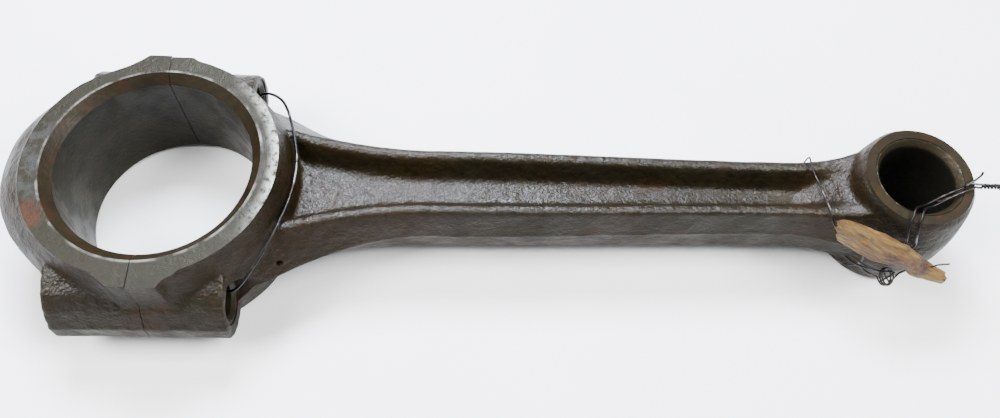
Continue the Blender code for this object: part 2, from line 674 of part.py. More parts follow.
def settle_datum():
    """Move the datum so that the origin is the middle of the footprint, at its lowest level."""
    bpy.context.view_layer.update()
    graph = bpy.context.evaluated_depsgraph_get()
    corners = []
    for obj in bpy.data.collections["connecting_rod"].objects:
        if obj.type == "EMPTY":
            continue
        shape = obj.evaluated_get(graph)
        mesh = shape.to_mesh()
        corners.extend(shape.matrix_world @ vertex.co for vertex in mesh.vertices)
        shape.to_mesh_clear()
    low = Vector([min(corner[axis] for corner in corners) for axis in range(3)])
    high = Vector([max(corner[axis] for corner in corners) for axis in range(3)])
    middle = (low + high) / 2.0
    bpy.data.objects["rod_datum"].location = (-middle.x, -middle.y, -low.z)


def main():
    clear_scene()
    parts = new_collection("connecting_rod")
    cutters = new_collection("cutters")
    datum = bpy.data.objects.new("rod_datum", None)
    parts.objects.link(datum)

    steel = make_material("forged_steel", (0.10, 0.085, 0.065), 0.45, 0.8)
    bronze = make_material("phosphor_bronze", (0.28, 0.21, 0.11), 0.4, 0.9)
    pin_steel = make_material("dowel_steel", (0.32, 0.32, 0.31), 0.3, 1.0)
    iron = make_material("annealed_iron_wire", (0.12, 0.12, 0.13), 0.45, 0.9)
    timber = make_material("split_softwood", (0.50, 0.33, 0.15), 0.8, 0.0)

    build_forgings(parts, cutters, steel)
    small_end_bush(parts, bronze)
    ring_dowel("near", -1, parts, pin_steel)
    ring_dowel("far", 1, parts, pin_steel)
    build_wires(parts, iron)
    loft("wood_tag", splinter_sections(), False, parts, timber)
    hide_helpers(cutters)
    settle_datum()


main()
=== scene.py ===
"""Forged connecting rod with its bearing cap tied on by wire, and a splinter of wood for a tag.

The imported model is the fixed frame. Each sub-assembly below is drawn in millimetres from the
rod's own datum, the crank-bore axis at half thickness, and is then moved to where the frame
has it. The forgings are made as real ones are: a rough blank is built up and softened, and
the machined faces and holes are then cut into it.
"""

import json
import logging
import math
from dataclasses import dataclass
from enum import Enum
from typing import Callable, Iterable, Sequence

import bmesh
import bpy
from mathutils import Matrix, Vector, noise

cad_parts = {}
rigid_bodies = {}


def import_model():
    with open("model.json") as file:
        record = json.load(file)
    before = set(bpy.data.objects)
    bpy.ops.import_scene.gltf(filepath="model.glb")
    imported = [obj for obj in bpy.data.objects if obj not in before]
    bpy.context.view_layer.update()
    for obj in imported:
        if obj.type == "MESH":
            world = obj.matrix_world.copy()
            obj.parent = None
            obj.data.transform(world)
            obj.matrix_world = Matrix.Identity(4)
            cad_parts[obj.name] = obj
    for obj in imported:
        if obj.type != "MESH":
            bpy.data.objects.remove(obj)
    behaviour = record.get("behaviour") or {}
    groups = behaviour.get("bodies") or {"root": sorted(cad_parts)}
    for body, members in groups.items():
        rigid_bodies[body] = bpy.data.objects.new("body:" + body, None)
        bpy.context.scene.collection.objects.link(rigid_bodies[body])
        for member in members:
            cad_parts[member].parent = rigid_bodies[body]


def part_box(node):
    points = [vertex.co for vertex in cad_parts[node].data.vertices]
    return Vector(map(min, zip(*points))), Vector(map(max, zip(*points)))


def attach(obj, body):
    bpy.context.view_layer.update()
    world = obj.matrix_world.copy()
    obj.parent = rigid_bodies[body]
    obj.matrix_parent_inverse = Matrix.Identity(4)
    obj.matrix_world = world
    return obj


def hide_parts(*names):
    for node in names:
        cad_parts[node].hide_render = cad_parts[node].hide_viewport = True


for leftover in list(bpy.data.objects):
    bpy.data.objects.remove(leftover, do_unlink=True)
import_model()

MM = 0.001
FULL_TURN = 2.0 * math.pi
LATHE_SHARP = 40.0
# The wires' kinks are drawn from this seed, so that every build bends them the same way.
NOISE_SEED = 1
# How square a polygon has to stand to count as flat, and how near a size it has to lie, in mm.
FLAT = 0.99
NEAR_SIZE = 0.05
LOG = logging.getLogger("connecting_rod")


class Side(Enum):
    """The two sides of the rod, by the sign of Y."""

    NEAR = -1
    FAR = 1


class Zone(Enum):
    """How a patch of a forging was made, in the order of its material slots."""

    FORGED = 0
    FACE = 1
    CHAMFER = 2
    BORE = 3


# ---------------------------------------------------------------- shared helpers


def smooth(value: float) -> float:
    """Ease from 0 to 1 as value goes from 0 to 1."""
    held = min(max(value, 0.0), 1.0)
    return held * held * (3.0 - 2.0 * held)


def blend(start: float, end: float, share: float) -> float:
    """Return the value a share of the way from start to end."""
    return start + (end - start) * share


def linear(colour: str) -> tuple[float, float, float, float]:
    """Turn an sRGB hex colour into linear RGBA.

    Args:
        colour: six hex digits after a hash sign.

    Returns:
        The linear colour with full alpha.
    """
    shades = [int(colour[start:start + 2], 16) / 255.0 for start in (1, 3, 5)]
    red, green, blue = (
        shade / 12.92 if shade <= 0.04045 else ((shade + 0.055) / 1.055) ** 2.4 for shade in shades
    )
    return red, green, blue, 1.0


def add_node(
    tree: bpy.types.NodeTree,
    kind: str,
    settings: dict[str, object] | None = None,
    inputs: dict[str | int, object] | None = None,
) -> bpy.types.Node:
    """Add a node, set its own settings, and set or link its inputs.

    Args:
        tree: the node tree that gets the node.
        kind: Blender's name for the node, without its ShaderNode prefix.
        settings: attribute names with their values.
        inputs: socket names or numbers, each with a value or an output to link.

    Returns:
        The new node.
    """
    made = tree.nodes.new("ShaderNode" + kind)
    for name, value in (settings or {}).items():
        setattr(made, name, value)
    for key, value in (inputs or {}).items():
        if isinstance(value, bpy.types.NodeSocket):
            tree.links.new(value, made.inputs[key])
        else:
            made.inputs[key].default_value = value
    return made


# ---------------------------------------------------------------- datum and meshes


@dataclass(frozen=True)
class Datum:
    """Where the rod's own datum lies in the frame, in metres."""

    origin: Vector

    @classmethod
    def from_frame(cls, centres: float) -> "Datum":
        """Find the datum from the bush, which stands on the small end's axis.

        Args:
            centres: the distance between the two bores in millimetres.

        Returns:
            The datum.
        """
        low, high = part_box("small_end_bush")
        middle = (low + high) / 2.0
        return cls(Vector((middle.x - centres * MM, middle.y, middle.z)))

    def world(self, point: Sequence[float]) -> Vector:
        """Return the place in the frame of a point in millimetres from the datum."""
        return self.origin + Vector(point) * MM

    def settle(self, piece: bpy.types.Object) -> None:
        """Turn a mesh drawn in millimetres from the datum into one in the frame's metres."""
        piece.data.transform(Matrix.Translation(self.origin) @ Matrix.Scale(MM, 4))


def as_object(name: str, shape: bmesh.types.BMesh) -> bpy.types.Object:
    """Free a bmesh into a new object.

    Args:
        name: the object's name.
        shape: the bmesh, which is freed.

    Returns:
        The object, linked to the scene.
    """
    bmesh.ops.recalc_face_normals(shape, faces=shape.faces)
    mesh = bpy.data.meshes.new(name)
    shape.to_mesh(mesh)
    shape.free()
    made = bpy.data.objects.new(name, mesh)
    bpy.context.scene.collection.objects.link(made)
    return made


def loft(name: str, sections: Sequence[Sequence[Vector]], closed: bool = False) -> bpy.types.Object:
    """Skin a row of sections with equal counts of points.

    Args:
        name: the object's name.
        sections: the sections in order, each a closed loop of points.
        closed: whether the last section joins the first, in place of caps.

    Returns:
        The skinned object.
    """
    shape = bmesh.new()
    rows = [[shape.verts.new(point) for point in section] for section in sections]
    pairs = list(zip(rows, rows[1:]))
    if closed:
        pairs.append((rows[-1], rows[0]))
    for first, second in pairs:
        count = len(first)
        for index in range(count):
            after = (index + 1) % count
            shape.faces.new((first[index], first[after], second[after], second[index]))
    if not closed:
        shape.faces.new(rows[0])
        shape.faces.new(rows[-1])
    return as_object(name, shape)


def ring(name: str, profile: Sequence[tuple[float, float]], facets: int) -> bpy.types.Object:
    """Turn a closed profile of (radius, height) points about Z into a ring."""
    sections = []
    for step in range(facets):
        angle = FULL_TURN * step / facets
        ray = Vector((math.cos(angle), math.sin(angle), 0.0))
        sections.append([ray * radius + Vector((0.0, 0.0, height)) for radius, height in profile])
    return loft(name, sections, closed=True)


def turned(name: str, profile: Sequence[tuple[float, float]], facets: int) -> bpy.types.Object:
    """Make a solid of round sections, one for each (radius, height) of the profile."""
    sections = []
    for radius, height in profile:
        section = []
        for step in range(facets):
            angle = FULL_TURN * step / facets
            section.append(Vector((radius * math.cos(angle), radius * math.sin(angle), height)))
        sections.append(section)
    return loft(name, sections)


def drill(
    name: str, start: Vector, end: Vector, profile: Sequence[tuple[float, float]], facets: int
) -> bpy.types.Object:
    """Make a turned cutter whose heights run from start towards end.

    Args:
        name: the object's name.
        start: where the profile's height is 0.
        end: a point that the axis passes through.
        profile: (radius, height) points.
        facets: how many sides the cutter has.

    Returns:
        The cutter.
    """
    made = turned(name, profile, facets)
    turn = (end - start).to_track_quat("Z", "Y").to_matrix().to_4x4()
    made.data.transform(Matrix.Translation(start) @ turn)
    return made


def block(name: str, low: Sequence[float], high: Sequence[float]) -> bpy.types.Object:
    """Make a cutter that is a box between two corners."""
    shape = bmesh.new()
    bmesh.ops.create_cube(shape, size=1.0)
    size = Vector(high) - Vector(low)
    middle = (Vector(high) + Vector(low)) / 2.0
    bmesh.ops.transform(shape, matrix=Matrix.Diagonal((*size, 1.0)), verts=shape.verts)
    bmesh.ops.translate(shape, vec=middle, verts=shape.verts)
    return as_object(name, shape)


def applied(piece: bpy.types.Object) -> bpy.types.Object:
    """Apply every modifier of a piece and return it."""
    bpy.context.view_layer.update()
    graph = bpy.context.evaluated_depsgraph_get()
    mesh = bpy.data.meshes.new_from_object(piece.evaluated_get(graph))
    piece.modifiers.clear()
    spent = piece.data
    piece.data = mesh
    bpy.data.meshes.remove(spent)
    return piece


def joined(name: str, pieces: Iterable[bpy.types.Object]) -> bpy.types.Object:
    """Put several meshes into one object, which takes their place."""
    shape = bmesh.new()
    for piece in pieces:
        shape.from_mesh(piece.data)
        bpy.data.objects.remove(piece, do_unlink=True)
    return as_object(name, shape)


def fitted(piece: bpy.types.Object, body: str, node: str | None = None) -> None:
    """Set a finished piece on its body of the frame, and report it.

    Args:
        piece: the finished piece.
        body: the frame's body that it moves with.
        node: the CAD node that it stands in for, where it has one.
    """
    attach(piece, body)
    if node:
        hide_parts(node)
    LOG.info("%s: %s on body %s", piece.name, piece.type.lower(), body)


def dressed(
    piece: bpy.types.Object, finish: bpy.types.Material, datum: Datum, sharp: float
) -> None:
    """Give a mesh one finish, shade it and place it.

    Args:
        piece: the mesh, still in millimetres from the datum.
        finish: its material.
        datum: the rod's datum.
        sharp: the angle in degrees above which an edge shows.
    """
    piece.data.materials.append(finish)
    piece.data.shade_smooth()
    piece.data.set_sharp_from_angle(angle=math.radians(sharp))
    datum.settle(piece)


def softened(piece: bpy.types.Object, voxel: float, passes: int) -> bpy.types.Object:
    """Fuse overlapping lumps into one skin and round its corners, as a forging die does.

    Args:
        piece: the lumps, in one object.
        voxel: the size of the new skin's facets.
        passes: how many times the skin is eased.

    Returns:
        The same object with its new mesh.
    """
    fuse = piece.modifiers.new("Fuse", "REMESH")
    fuse.mode = "VOXEL"
    fuse.voxel_size = voxel
    ease = piece.modifiers.new("Ease", "SMOOTH")
    ease.factor = 0.5
    ease.iterations = passes
    return applied(piece)


def cut(piece: bpy.types.Object, cutters: Iterable[bpy.types.Object]) -> bpy.types.Object:
    """Cut each cutter out of a piece in turn, and remove the cutters."""
    for cutter in cutters:
        away = piece.modifiers.new("Cut", "BOOLEAN")
        away.operation = "DIFFERENCE"
        away.solver = "MANIFOLD"
        away.object = cutter
        applied(piece)
        bpy.data.objects.remove(cutter, do_unlink=True)
    return piece


def smooth_route(route: Sequence[Sequence[float]], spacing: float) -> list[Vector]:
    """Points along a smooth curve through a route.

    Args:
        route: the points that the curve passes through.
        spacing: the distance between the new points, about.

    Returns:
        The new points.
    """
    knots = [Vector(point) for point in route]
    knots = [2.0 * knots[0] - knots[1]] + knots + [2.0 * knots[-1] - knots[-2]]
    points = []
    for before, start, end, after in zip(knots, knots[1:], knots[2:], knots[3:]):
        steps = max(1, round((end - start).length / spacing))
        for step in range(steps):
            share = step / steps
            bend_start = (end - before) * (share - 2.0 * share**2 + share**3) / 2.0
            bend_end = (after - start) * (share**3 - share**2) / 2.0
            points.append(start.lerp(end, smooth(share)) + bend_start + bend_end)
    points.append(knots[-2])
    return points


# ---------------------------------------------------------------- finishes


class Coating:
    """One material's node network, with coordinates in millimetres from the datum."""

    def __init__(self, name: str, datum: Datum) -> None:
        """Start a material of that name with a bare Principled shader."""
        self.material = bpy.data.materials.new(name)
        self.material.use_nodes = True
        self.tree = self.material.node_tree
        self.shader = self.tree.nodes["Principled BSDF"]
        where = add_node(self.tree, "TexCoord")
        from_datum = add_node(
            self.tree, "VectorMath", {"operation": "SUBTRACT"},
            {0: where.outputs["Object"], 1: datum.origin},
        )
        in_mm = add_node(
            self.tree, "VectorMath", {"operation": "SCALE"},
            {0: from_datum.outputs[0], "Scale": 1.0 / MM},
        )
        self.place = in_mm.outputs[0]

    def patches(
        self, size: float, low: float, high: float, seed: float = 0.0,
        stretch: tuple[float, float, float] = (1.0, 1.0, 1.0), detail: float = 4.0,
        place: bpy.types.NodeSocket | None = None,
    ) -> bpy.types.NodeSocket:
        """Lay soft random patches.

        Args:
            size: how far apart the patches are, in millimetres.
            low: the noise level where a patch begins.
            high: the noise level where a patch is full.
            seed: moves the pattern, so that two layers differ.
            stretch: how many times longer the patches are along each axis.
            detail: how many finer octaves ride on the patches.
            place: coordinates to use in place of the datum's.

        Returns:
            A share from 0 to 1.
        """
        spread = add_node(
            self.tree, "VectorMath", {"operation": "MULTIPLY_ADD"},
            {0: place or self.place, 1: [1.0 / along for along in stretch], 2: (seed, seed, seed)},
        )
        texture = add_node(
            self.tree, "TexNoise", None,
            {"Vector": spread.outputs[0], "Scale": 1.0 / size, "Detail": detail, "Roughness": 0.6},
        )
        share = add_node(
            self.tree, "MapRange", {"interpolation_type": "SMOOTHSTEP"},
            {"Value": texture.outputs["Fac"], "From Min": low, "From Max": high},
        )
        return share.outputs["Result"]

    def tinted(
        self, under: object, colour: str, share: object, strength: float = 1.0
    ) -> bpy.types.NodeSocket:
        """Lay a colour over what is under it.

        Args:
            under: the colour below, as a socket or a hex string.
            colour: the new colour as a hex string.
            share: the socket that says how much of it shows.
            strength: the most that it may cover.

        Returns:
            The mixed colour.
        """
        held = add_node(self.tree, "Math", {"operation": "MULTIPLY"}, {0: share, 1: strength})
        below = linear(under) if isinstance(under, str) else under
        mixed = add_node(
            self.tree, "MixRGB", None,
            {"Fac": held.outputs[0], "Color1": below, "Color2": linear(colour)},
        )
        return mixed.outputs["Color"]

    def maths(self, operation: str, first: object, second: object = 0.0) -> bpy.types.NodeSocket:
        """Combine two values or sockets."""
        return add_node(
            self.tree, "Math", {"operation": operation}, {0: first, 1: second}
        ).outputs[0]

    def ranged(
        self, value: object, start: float, end: float, low: float = 0.0, high: float = 1.0
    ) -> bpy.types.NodeSocket:
        """Map a value from start..end to low..high, eased and held at both."""
        return add_node(
            self.tree, "MapRange", {"interpolation_type": "SMOOTHSTEP"},
            {"Value": value, "From Min": start, "From Max": end, "To Min": low, "To Max": high},
        ).outputs["Result"]

    def relief(
        self, height: object, depth: float, under: bpy.types.NodeSocket | None = None
    ) -> bpy.types.NodeSocket:
        """Raise the surface by a height from 0 to 1 times a depth in millimetres."""
        links: dict[str | int, object] = {"Height": height, "Distance": depth * MM, "Strength": 1.0}
        if under is not None:
            links["Normal"] = under
        return add_node(self.tree, "Bump", None, links).outputs["Normal"]

    def polar(self, centre_x: float) -> tuple[bpy.types.NodeSocket, bpy.types.NodeSocket]:
        """The distance from an upright axis on the rod's middle line, and the angle round it.

        Args:
            centre_x: where the axis stands, in millimetres from the datum.

        Returns:
            The distance in millimetres and the angle in radians, from -pi to pi.
        """
        parts = add_node(self.tree, "SeparateXYZ", None, {0: self.place})
        along = self.maths("SUBTRACT", parts.outputs["X"], centre_x)
        across = parts.outputs["Y"]
        flat = add_node(self.tree, "CombineXYZ", None, {"X": along, "Y": across})
        reach = add_node(self.tree, "VectorMath", {"operation": "LENGTH"}, {0: flat.outputs[0]})
        return reach.outputs["Value"], self.maths("ARCTAN2", across, along)

    def spot(
        self, centre: tuple[float, float, float], radius: float, fade: float
    ) -> bpy.types.NodeSocket:
        """A share that is 1 near a point and 0 beyond its radius and fade."""
        gap = add_node(
            self.tree, "VectorMath", {"operation": "DISTANCE"}, {0: self.place, 1: centre}
        )
        return self.ranged(gap.outputs["Value"], radius + fade, radius)

    def upward(self) -> bpy.types.NodeSocket:
        """How far the surface faces up, where old oil gathers."""
        shape = add_node(self.tree, "NewGeometry")
        return add_node(self.tree, "SeparateXYZ", None, {0: shape.outputs["True Normal"]}).outputs["Z"]

    def worn(self, start: float, end: float) -> bpy.types.NodeSocket:
        """How much an edge stands out, from 0 on a flat to 1 on a sharp ridge."""
        shape = add_node(self.tree, "NewGeometry")
        return self.ranged(shape.outputs["Pointiness"], start, end)

    def finish(self, **sockets: object) -> bpy.types.Material:
        """Link or set the shader's sockets, named with underscores for spaces.

        Returns:
            The finished material.
        """
        for name, value in sockets.items():
            socket = self.shader.inputs[name.replace("_", " ")]
            if isinstance(value, bpy.types.NodeSocket):
                self.tree.links.new(value, socket)
            else:
                socket.default_value = value
        return self.material


@dataclass(frozen=True)
class ForgedSteel:
    """Drop-forged carbon steel in its scale: dark, pitted, and wet with old oil."""

    scale: str = "#17130a"
    brown: str = "#1e1408"
    olive: str = "#1a180a"
    soot: str = "#090804"
    rust: str = "#2e180a"
    bare: str = "#5c5646"

    def material(self, datum: Datum) -> bpy.types.Material:
        """Lay the network. The scale's broad stains give the brown and olive drift."""
        coat = Coating("Drop-forged steel, scaled and oiled", datum)
        colour = coat.tinted(self.scale, self.brown, coat.patches(26.0, 0.42, 0.62, 3.1), 0.85)
        colour = coat.tinted(colour, self.olive, coat.patches(11.0, 0.45, 0.68, 17.0), 0.7)
        colour = coat.tinted(colour, self.rust, coat.patches(17.0, 0.58, 0.76, 41.0), 0.4)
        colour = coat.tinted(colour, self.soot, coat.patches(2.4, 0.46, 0.72, 7.7), 0.6)
        # Shot-blast pits are 0.2 mm across and are drawn at 0.9 mm so that they show.
        pits = coat.patches(0.9, 0.36, 0.64, 29.0, detail=3.0)
        lumps = coat.patches(4.5, 0.3, 0.7, 5.0, detail=3.0)
        chips = coat.maths("MULTIPLY", coat.worn(0.53, 0.64), coat.patches(1.6, 0.48, 0.66, 13.0))
        colour = coat.tinted(colour, self.bare, chips, 0.6)
        relief = coat.relief(lumps, 0.25)
        relief = coat.relief(pits, 0.07, relief)
        wet = coat.patches(14.0, 0.38, 0.64, 53.0)
        return coat.finish(
            Base_Color=colour, Metallic=0.05, Normal=relief,
            Roughness=coat.ranged(wet, 0.0, 1.0, 0.56, 0.42), Specular_IOR_Level=0.08,
            Coat_Weight=coat.ranged(coat.upward(), 0.3, 0.9, 0.0, 0.3), Coat_Roughness=0.26,
            Coat_Normal=relief,
        )


@dataclass(frozen=True)
class MachinedFace:
    """A face turned on a lathe, gone grey-green under oil, with rub marks and a painted highlight on its
    side towards the shank.
    """

    steel: str = "#1b190f"
    green: str = "#18170b"
    brown: str = "#1d150a"
    rust: str = "#331a0c"
    # Worn bright at the bore's rim, and the painted highlight on the side towards the shank.
    bright: str = "#93938c"
    scuff: str = "#303130"

    def material(self, datum: Datum, bore: float, edge: float) -> bpy.types.Material:
        """Lay the network.

        Args:
            datum: the rod's datum.
            bore: the radius where the big end's face begins.
            edge: the radius where it ends.

        Returns:
            The material.
        """
        coat = Coating("Turned steel face, oil-stained", datum)
        reach, angle = coat.polar(0.0)
        colour = coat.tinted(self.steel, self.green, coat.patches(13.0, 0.40, 0.62, 2.0), 0.9)
        colour = coat.tinted(colour, self.brown, coat.patches(7.0, 0.52, 0.70, 23.0), 0.55)
        # The face carries a painted highlight, broken into rub marks, towards the shank, and is scuffed
        # opposite it.
        highlight_side = coat.ranged(coat.maths("ABSOLUTE", coat.maths("SUBTRACT", angle, 0.12)), 0.95, 0.2)
        outer = coat.ranged(reach, bore + 1.6, edge)
        rub_and_painted_highlight = coat.maths("MULTIPLY", coat.maths("MULTIPLY", highlight_side, outer),
                            coat.patches(2.2, 0.34, 0.58, 9.0))
        opposite = coat.ranged(coat.maths("ABSOLUTE", angle), 2.55, 3.0)
        scuffs = coat.maths("MULTIPLY", opposite, coat.patches(3.0, 0.40, 0.62, 31.0))
        colour = coat.tinted(colour, self.scuff, scuffs, 0.75)
        # Painted highlight with rub marks on the face's side towards the shank.
        colour = coat.tinted(colour, self.bright, rub_and_painted_highlight, 0.85)
        rust = coat.maths("MULTIPLY", coat.spot((-34.0, -20.0, 22.0), 3.0, 4.0),
                          coat.patches(3.0, 0.34, 0.52, 61.0))
        colour = coat.tinted(colour, self.rust, rust, 0.9)
        rim = coat.ranged(coat.maths("ABSOLUTE", coat.maths("SUBTRACT", reach, bore + 0.35)), 0.7, 0.1)
        rim = coat.maths("MULTIPLY", rim, coat.patches(9.0, 0.40, 0.70, 77.0))
        colour = coat.tinted(colour, self.bright, rim, 0.45)
        colour = coat.tinted(colour, "#25221a", coat.patches(1.3, 0.60, 0.72, 19.0), 0.7)
        # Lathe marks are 0.2 mm apart and are drawn at 0.7 mm so that they show.
        marks = coat.maths("SINE", coat.maths("MULTIPLY", reach, FULL_TURN / 0.7))
        relief = coat.relief(marks, 0.006)
        relief = coat.relief(coat.patches(1.1, 0.35, 0.65, 83.0), 0.05, relief)
        shine = coat.maths("SUBTRACT", coat.ranged(coat.patches(6.0, 0.36, 0.64, 37.0), 0, 1, 0.52, 0.38),
                           coat.maths("MULTIPLY", rub_and_painted_highlight, 0.12))
        return coat.finish(Base_Color=colour, Metallic=0.3, Roughness=shine, Normal=relief,
                           Specular_IOR_Level=0.2)


@dataclass(frozen=True)
class BoredSteel:
    """The bored wall of the crank bore: fine rings of the boring bar under dark yellow oil."""

    name: str = "Bored steel, oiled"
    steel: str = "#151409"
    yellow: str = "#1d1a0a"
    dark: str = "#0b0a05"
    rust: str = "#1e1107"
    rust_strength: float = 0.25
    roughness: tuple[float, float] = (0.46, 0.32)

    def material(self, datum: Datum) -> bpy.types.Material:
        """Lay the network. The yellow drift is where the oil has gummed."""
        coat = Coating(self.name, datum)
        colour = coat.tinted(self.steel, self.yellow, coat.patches(15.0, 0.44, 0.66, 8.0), 0.75)
        colour = coat.tinted(colour, self.dark, coat.patches(8.0, 0.46, 0.66, 44.0), 0.7)
        colour = coat.tinted(colour, self.rust, coat.patches(5.0, 0.5, 0.7, 71.0), self.rust_strength)
        height = add_node(coat.tree, "SeparateXYZ", None, {0: coat.place}).outputs["Z"]
        # Boring marks are 0.1 mm apart and are drawn at 0.6 mm so that they show.
        marks = coat.maths("SINE", coat.maths("MULTIPLY", height, FULL_TURN / 0.6))
        relief = coat.relief(marks, 0.004)
        relief = coat.relief(coat.patches(1.4, 0.4, 0.66, 12.0), 0.03, relief)
        low, high = self.roughness
        shine = coat.ranged(coat.patches(9.0, 0.38, 0.62, 27.0), 0.0, 1.0, low, high)
        return coat.finish(Base_Color=colour, Metallic=0.15, Roughness=shine, Normal=relief,
                           Specular_IOR_Level=0.12)


@dataclass(frozen=True)
class PhosphorBronze:
    """A reamed phosphor-bronze bush with a brown rim chipped bright, and painted shade that turns it
    nearly black deeper in its bore.
    """

    rim: str = "#2e2517"
    # Painted shade, deepening towards the middle of the bush's bore.
    inside: str = "#0c0c07"
    green: str = "#272616"
    bright: str = "#8d8264"

    def material(self, datum: Datum, axis: float, bore: float, top: float) -> bpy.types.Material:
        """Lay the network.

        Args:
            datum: the rod's datum.
            axis: where the bush's axis stands along the rod.
            bore: the bush's inner radius.
            top: the height of its rim.

        Returns:
            The material.
        """
        coat = Coating("Reamed phosphor bronze, stained", datum)
        reach, _ = coat.polar(axis)
        colour = coat.tinted(self.rim, self.green, coat.patches(5.0, 0.42, 0.64, 6.0), 0.8)
        height = add_node(coat.tree, "SeparateXYZ", None, {0: coat.place}).outputs["Z"]
        # Painted shade: the bush goes nearly black deeper inside its bore.
        depth = coat.ranged(coat.maths("ABSOLUTE", height), top - 1.2, top - 4.0)
        colour = coat.tinted(colour, self.inside, depth, 0.95)
        lip = coat.ranged(reach, bore + 1.1, bore + 1.7)
        chips = coat.maths("MULTIPLY", lip, coat.patches(1.8, 0.56, 0.68, 18.0))
        colour = coat.tinted(colour, self.bright, chips, 0.5)
        relief = coat.relief(coat.patches(1.2, 0.35, 0.65, 3.0), 0.05)
        return coat.finish(Base_Color=colour, Metallic=0.6, Roughness=0.48, Normal=relief)


@dataclass(frozen=True)
class AnnealedWire:
    """Soft iron tie wire, drawn and annealed: grey-black scale, bright where it was bent."""

    scale: str = "#1f1f20"
    bright: str = "#7c7d80"
    rust: str = "#35210f"

    def material(self, datum: Datum) -> bpy.types.Material:
        """Lay the network. The bright patches are where the scale has cracked off."""
        coat = Coating("Annealed iron wire", datum)
        colour = coat.tinted(self.scale, self.rust, coat.patches(4.0, 0.5, 0.66, 5.0), 0.5)
        colour = coat.tinted(colour, self.bright, coat.patches(7.0, 0.52, 0.66, 15.0), 0.5)
        relief = coat.relief(coat.patches(0.6, 0.3, 0.7, 9.0), 0.02)
        return coat.finish(Base_Color=colour, Metallic=0.9, Roughness=0.36, Normal=relief)


@dataclass(frozen=True)
class SplitSoftwood:
    """A splinter of softwood, split along the grain: ochre, oily and stained dark red."""

    pale: str = "#7c5e26"
    ochre: str = "#553a10"
    late: str = "#352108"
    stain: str = "#2c1110"
    oil: str = "#1b1209"

    def material(
        self, datum: Datum, grain: Vector, stains: Sequence[tuple[float, float, float]],
        tip: tuple[float, float, float],
    ) -> bpy.types.Material:
        """Lay the network.

        Args:
            datum: the rod's datum.
            grain: the direction that the grain runs in.
            stains: where the oil and rust from the wires has soaked in.
            tip: where the wood has stayed pale.

        Returns:
            The material.
        """
        coat = Coating("Split softwood, oil-stained", datum)
        turn = grain.to_track_quat("X", "Z").inverted().to_euler()
        along = add_node(
            coat.tree, "VectorRotate", {"rotation_type": "EULER_XYZ"},
            {"Vector": coat.place, "Rotation": turn},
        ).outputs[0]
        # Growth rings are 1.5 mm apart here, and the fibres are drawn at 0.5 mm to show.
        rings = coat.patches(1.5, 0.38, 0.62, 4.0, (14.0, 1.0, 1.0), 3.0, along)
        fibres = coat.patches(0.5, 0.35, 0.65, 8.0, (18.0, 1.0, 1.0), 2.0, along)
        colour = coat.tinted(self.ochre, self.pale, coat.patches(6.0, 0.4, 0.62, 2.0, (3.0, 1.0, 1.0),
                                                                  3.0, along), 0.8)
        colour = coat.tinted(colour, self.pale, coat.spot(tip, 3.0, 9.0), 0.7)
        colour = coat.tinted(colour, self.late, rings, 0.6)
        colour = coat.tinted(colour, self.oil, fibres, 0.35)
        for centre in stains:
            soaked = coat.maths("MULTIPLY", coat.spot(centre, 0.8, 4.2),
                                coat.patches(2.5, 0.30, 0.52, centre[0]))
            colour = coat.tinted(colour, self.stain, soaked, 0.9)
        colour = coat.tinted(colour, self.oil, coat.patches(3.6, 0.58, 0.72, 91.0, (3.0, 1.0, 1.0),
                                                            4.0, along), 0.75)
        relief = coat.relief(rings, 0.18)
        relief = coat.relief(fibres, 0.10, relief)
        return coat.finish(Base_Color=colour, Roughness=0.62, Normal=relief, Specular_IOR_Level=0.35)


@dataclass(frozen=True)
class PaleTable:
    """The plain pale sheet that the rod lies on."""

    tone: str = "#f6f6f6"

    def material(self, datum: Datum) -> bpy.types.Material:
        """Lay the network, an almost even white with a faint drift."""
        coat = Coating("Matt white board", datum)
        colour = coat.tinted(self.tone, "#ededee", coat.patches(160.0, 0.4, 0.6, 1.0), 0.5)
        return coat.finish(Base_Color=colour, Roughness=0.9, Specular_IOR_Level=0.1)


# ---------------------------------------------------------------- forgings


@dataclass(frozen=True)
class Forge:
    """What every forging shares: its skin, its allowances and its surface's waviness."""

    voxel: float = 0.75
    passes: int = 3
    stock: float = 1.2
    reach: float = 90.0
    overcut: float = 6.0
    drilled: float = 60.0
    wave: float = 0.16
    wave_size: float = 9.0
    ripple: float = 0.05
    ripple_size: float = 2.6

    def roughened(self, piece: bpy.types.Object) -> None:
        """Move the skin in and out a little, as a worn die and scale leave it."""
        mesh = piece.data
        normals = [item.vector.copy() for item in mesh.vertex_normals]
        moved = []
        for vertex, normal in zip(mesh.vertices, normals):
            place = vertex.co
            broad = noise.noise(place / self.wave_size)
            fine = noise.noise(place / self.ripple_size)
            moved.extend(place + normal * (self.wave * broad + self.ripple * fine))
        mesh.vertices.foreach_set("co", moved)
        mesh.update()

    def zoned(
        self, piece: bpy.types.Object, finishes: Sequence[bpy.types.Material],
        zone_of: Callable[[Vector, Vector], Zone], datum: Datum, sharp: float = 38.0,
    ) -> None:
        """Give each polygon the finish of its zone, shade the piece and place it.

        Args:
            piece: the forging, still in millimetres from the datum.
            finishes: the materials in the order of Zone.
            zone_of: says the zone from a polygon's centre and normal.
            datum: the rod's datum.
            sharp: the angle in degrees above which an edge shows.
        """
        mesh = piece.data
        mesh.materials.clear()
        for finish in finishes:
            mesh.materials.append(finish)
        for polygon in mesh.polygons:
            polygon.material_index = zone_of(polygon.center, polygon.normal).value
        mesh.shade_smooth()
        mesh.set_sharp_from_angle(angle=math.radians(sharp))
        datum.settle(piece)


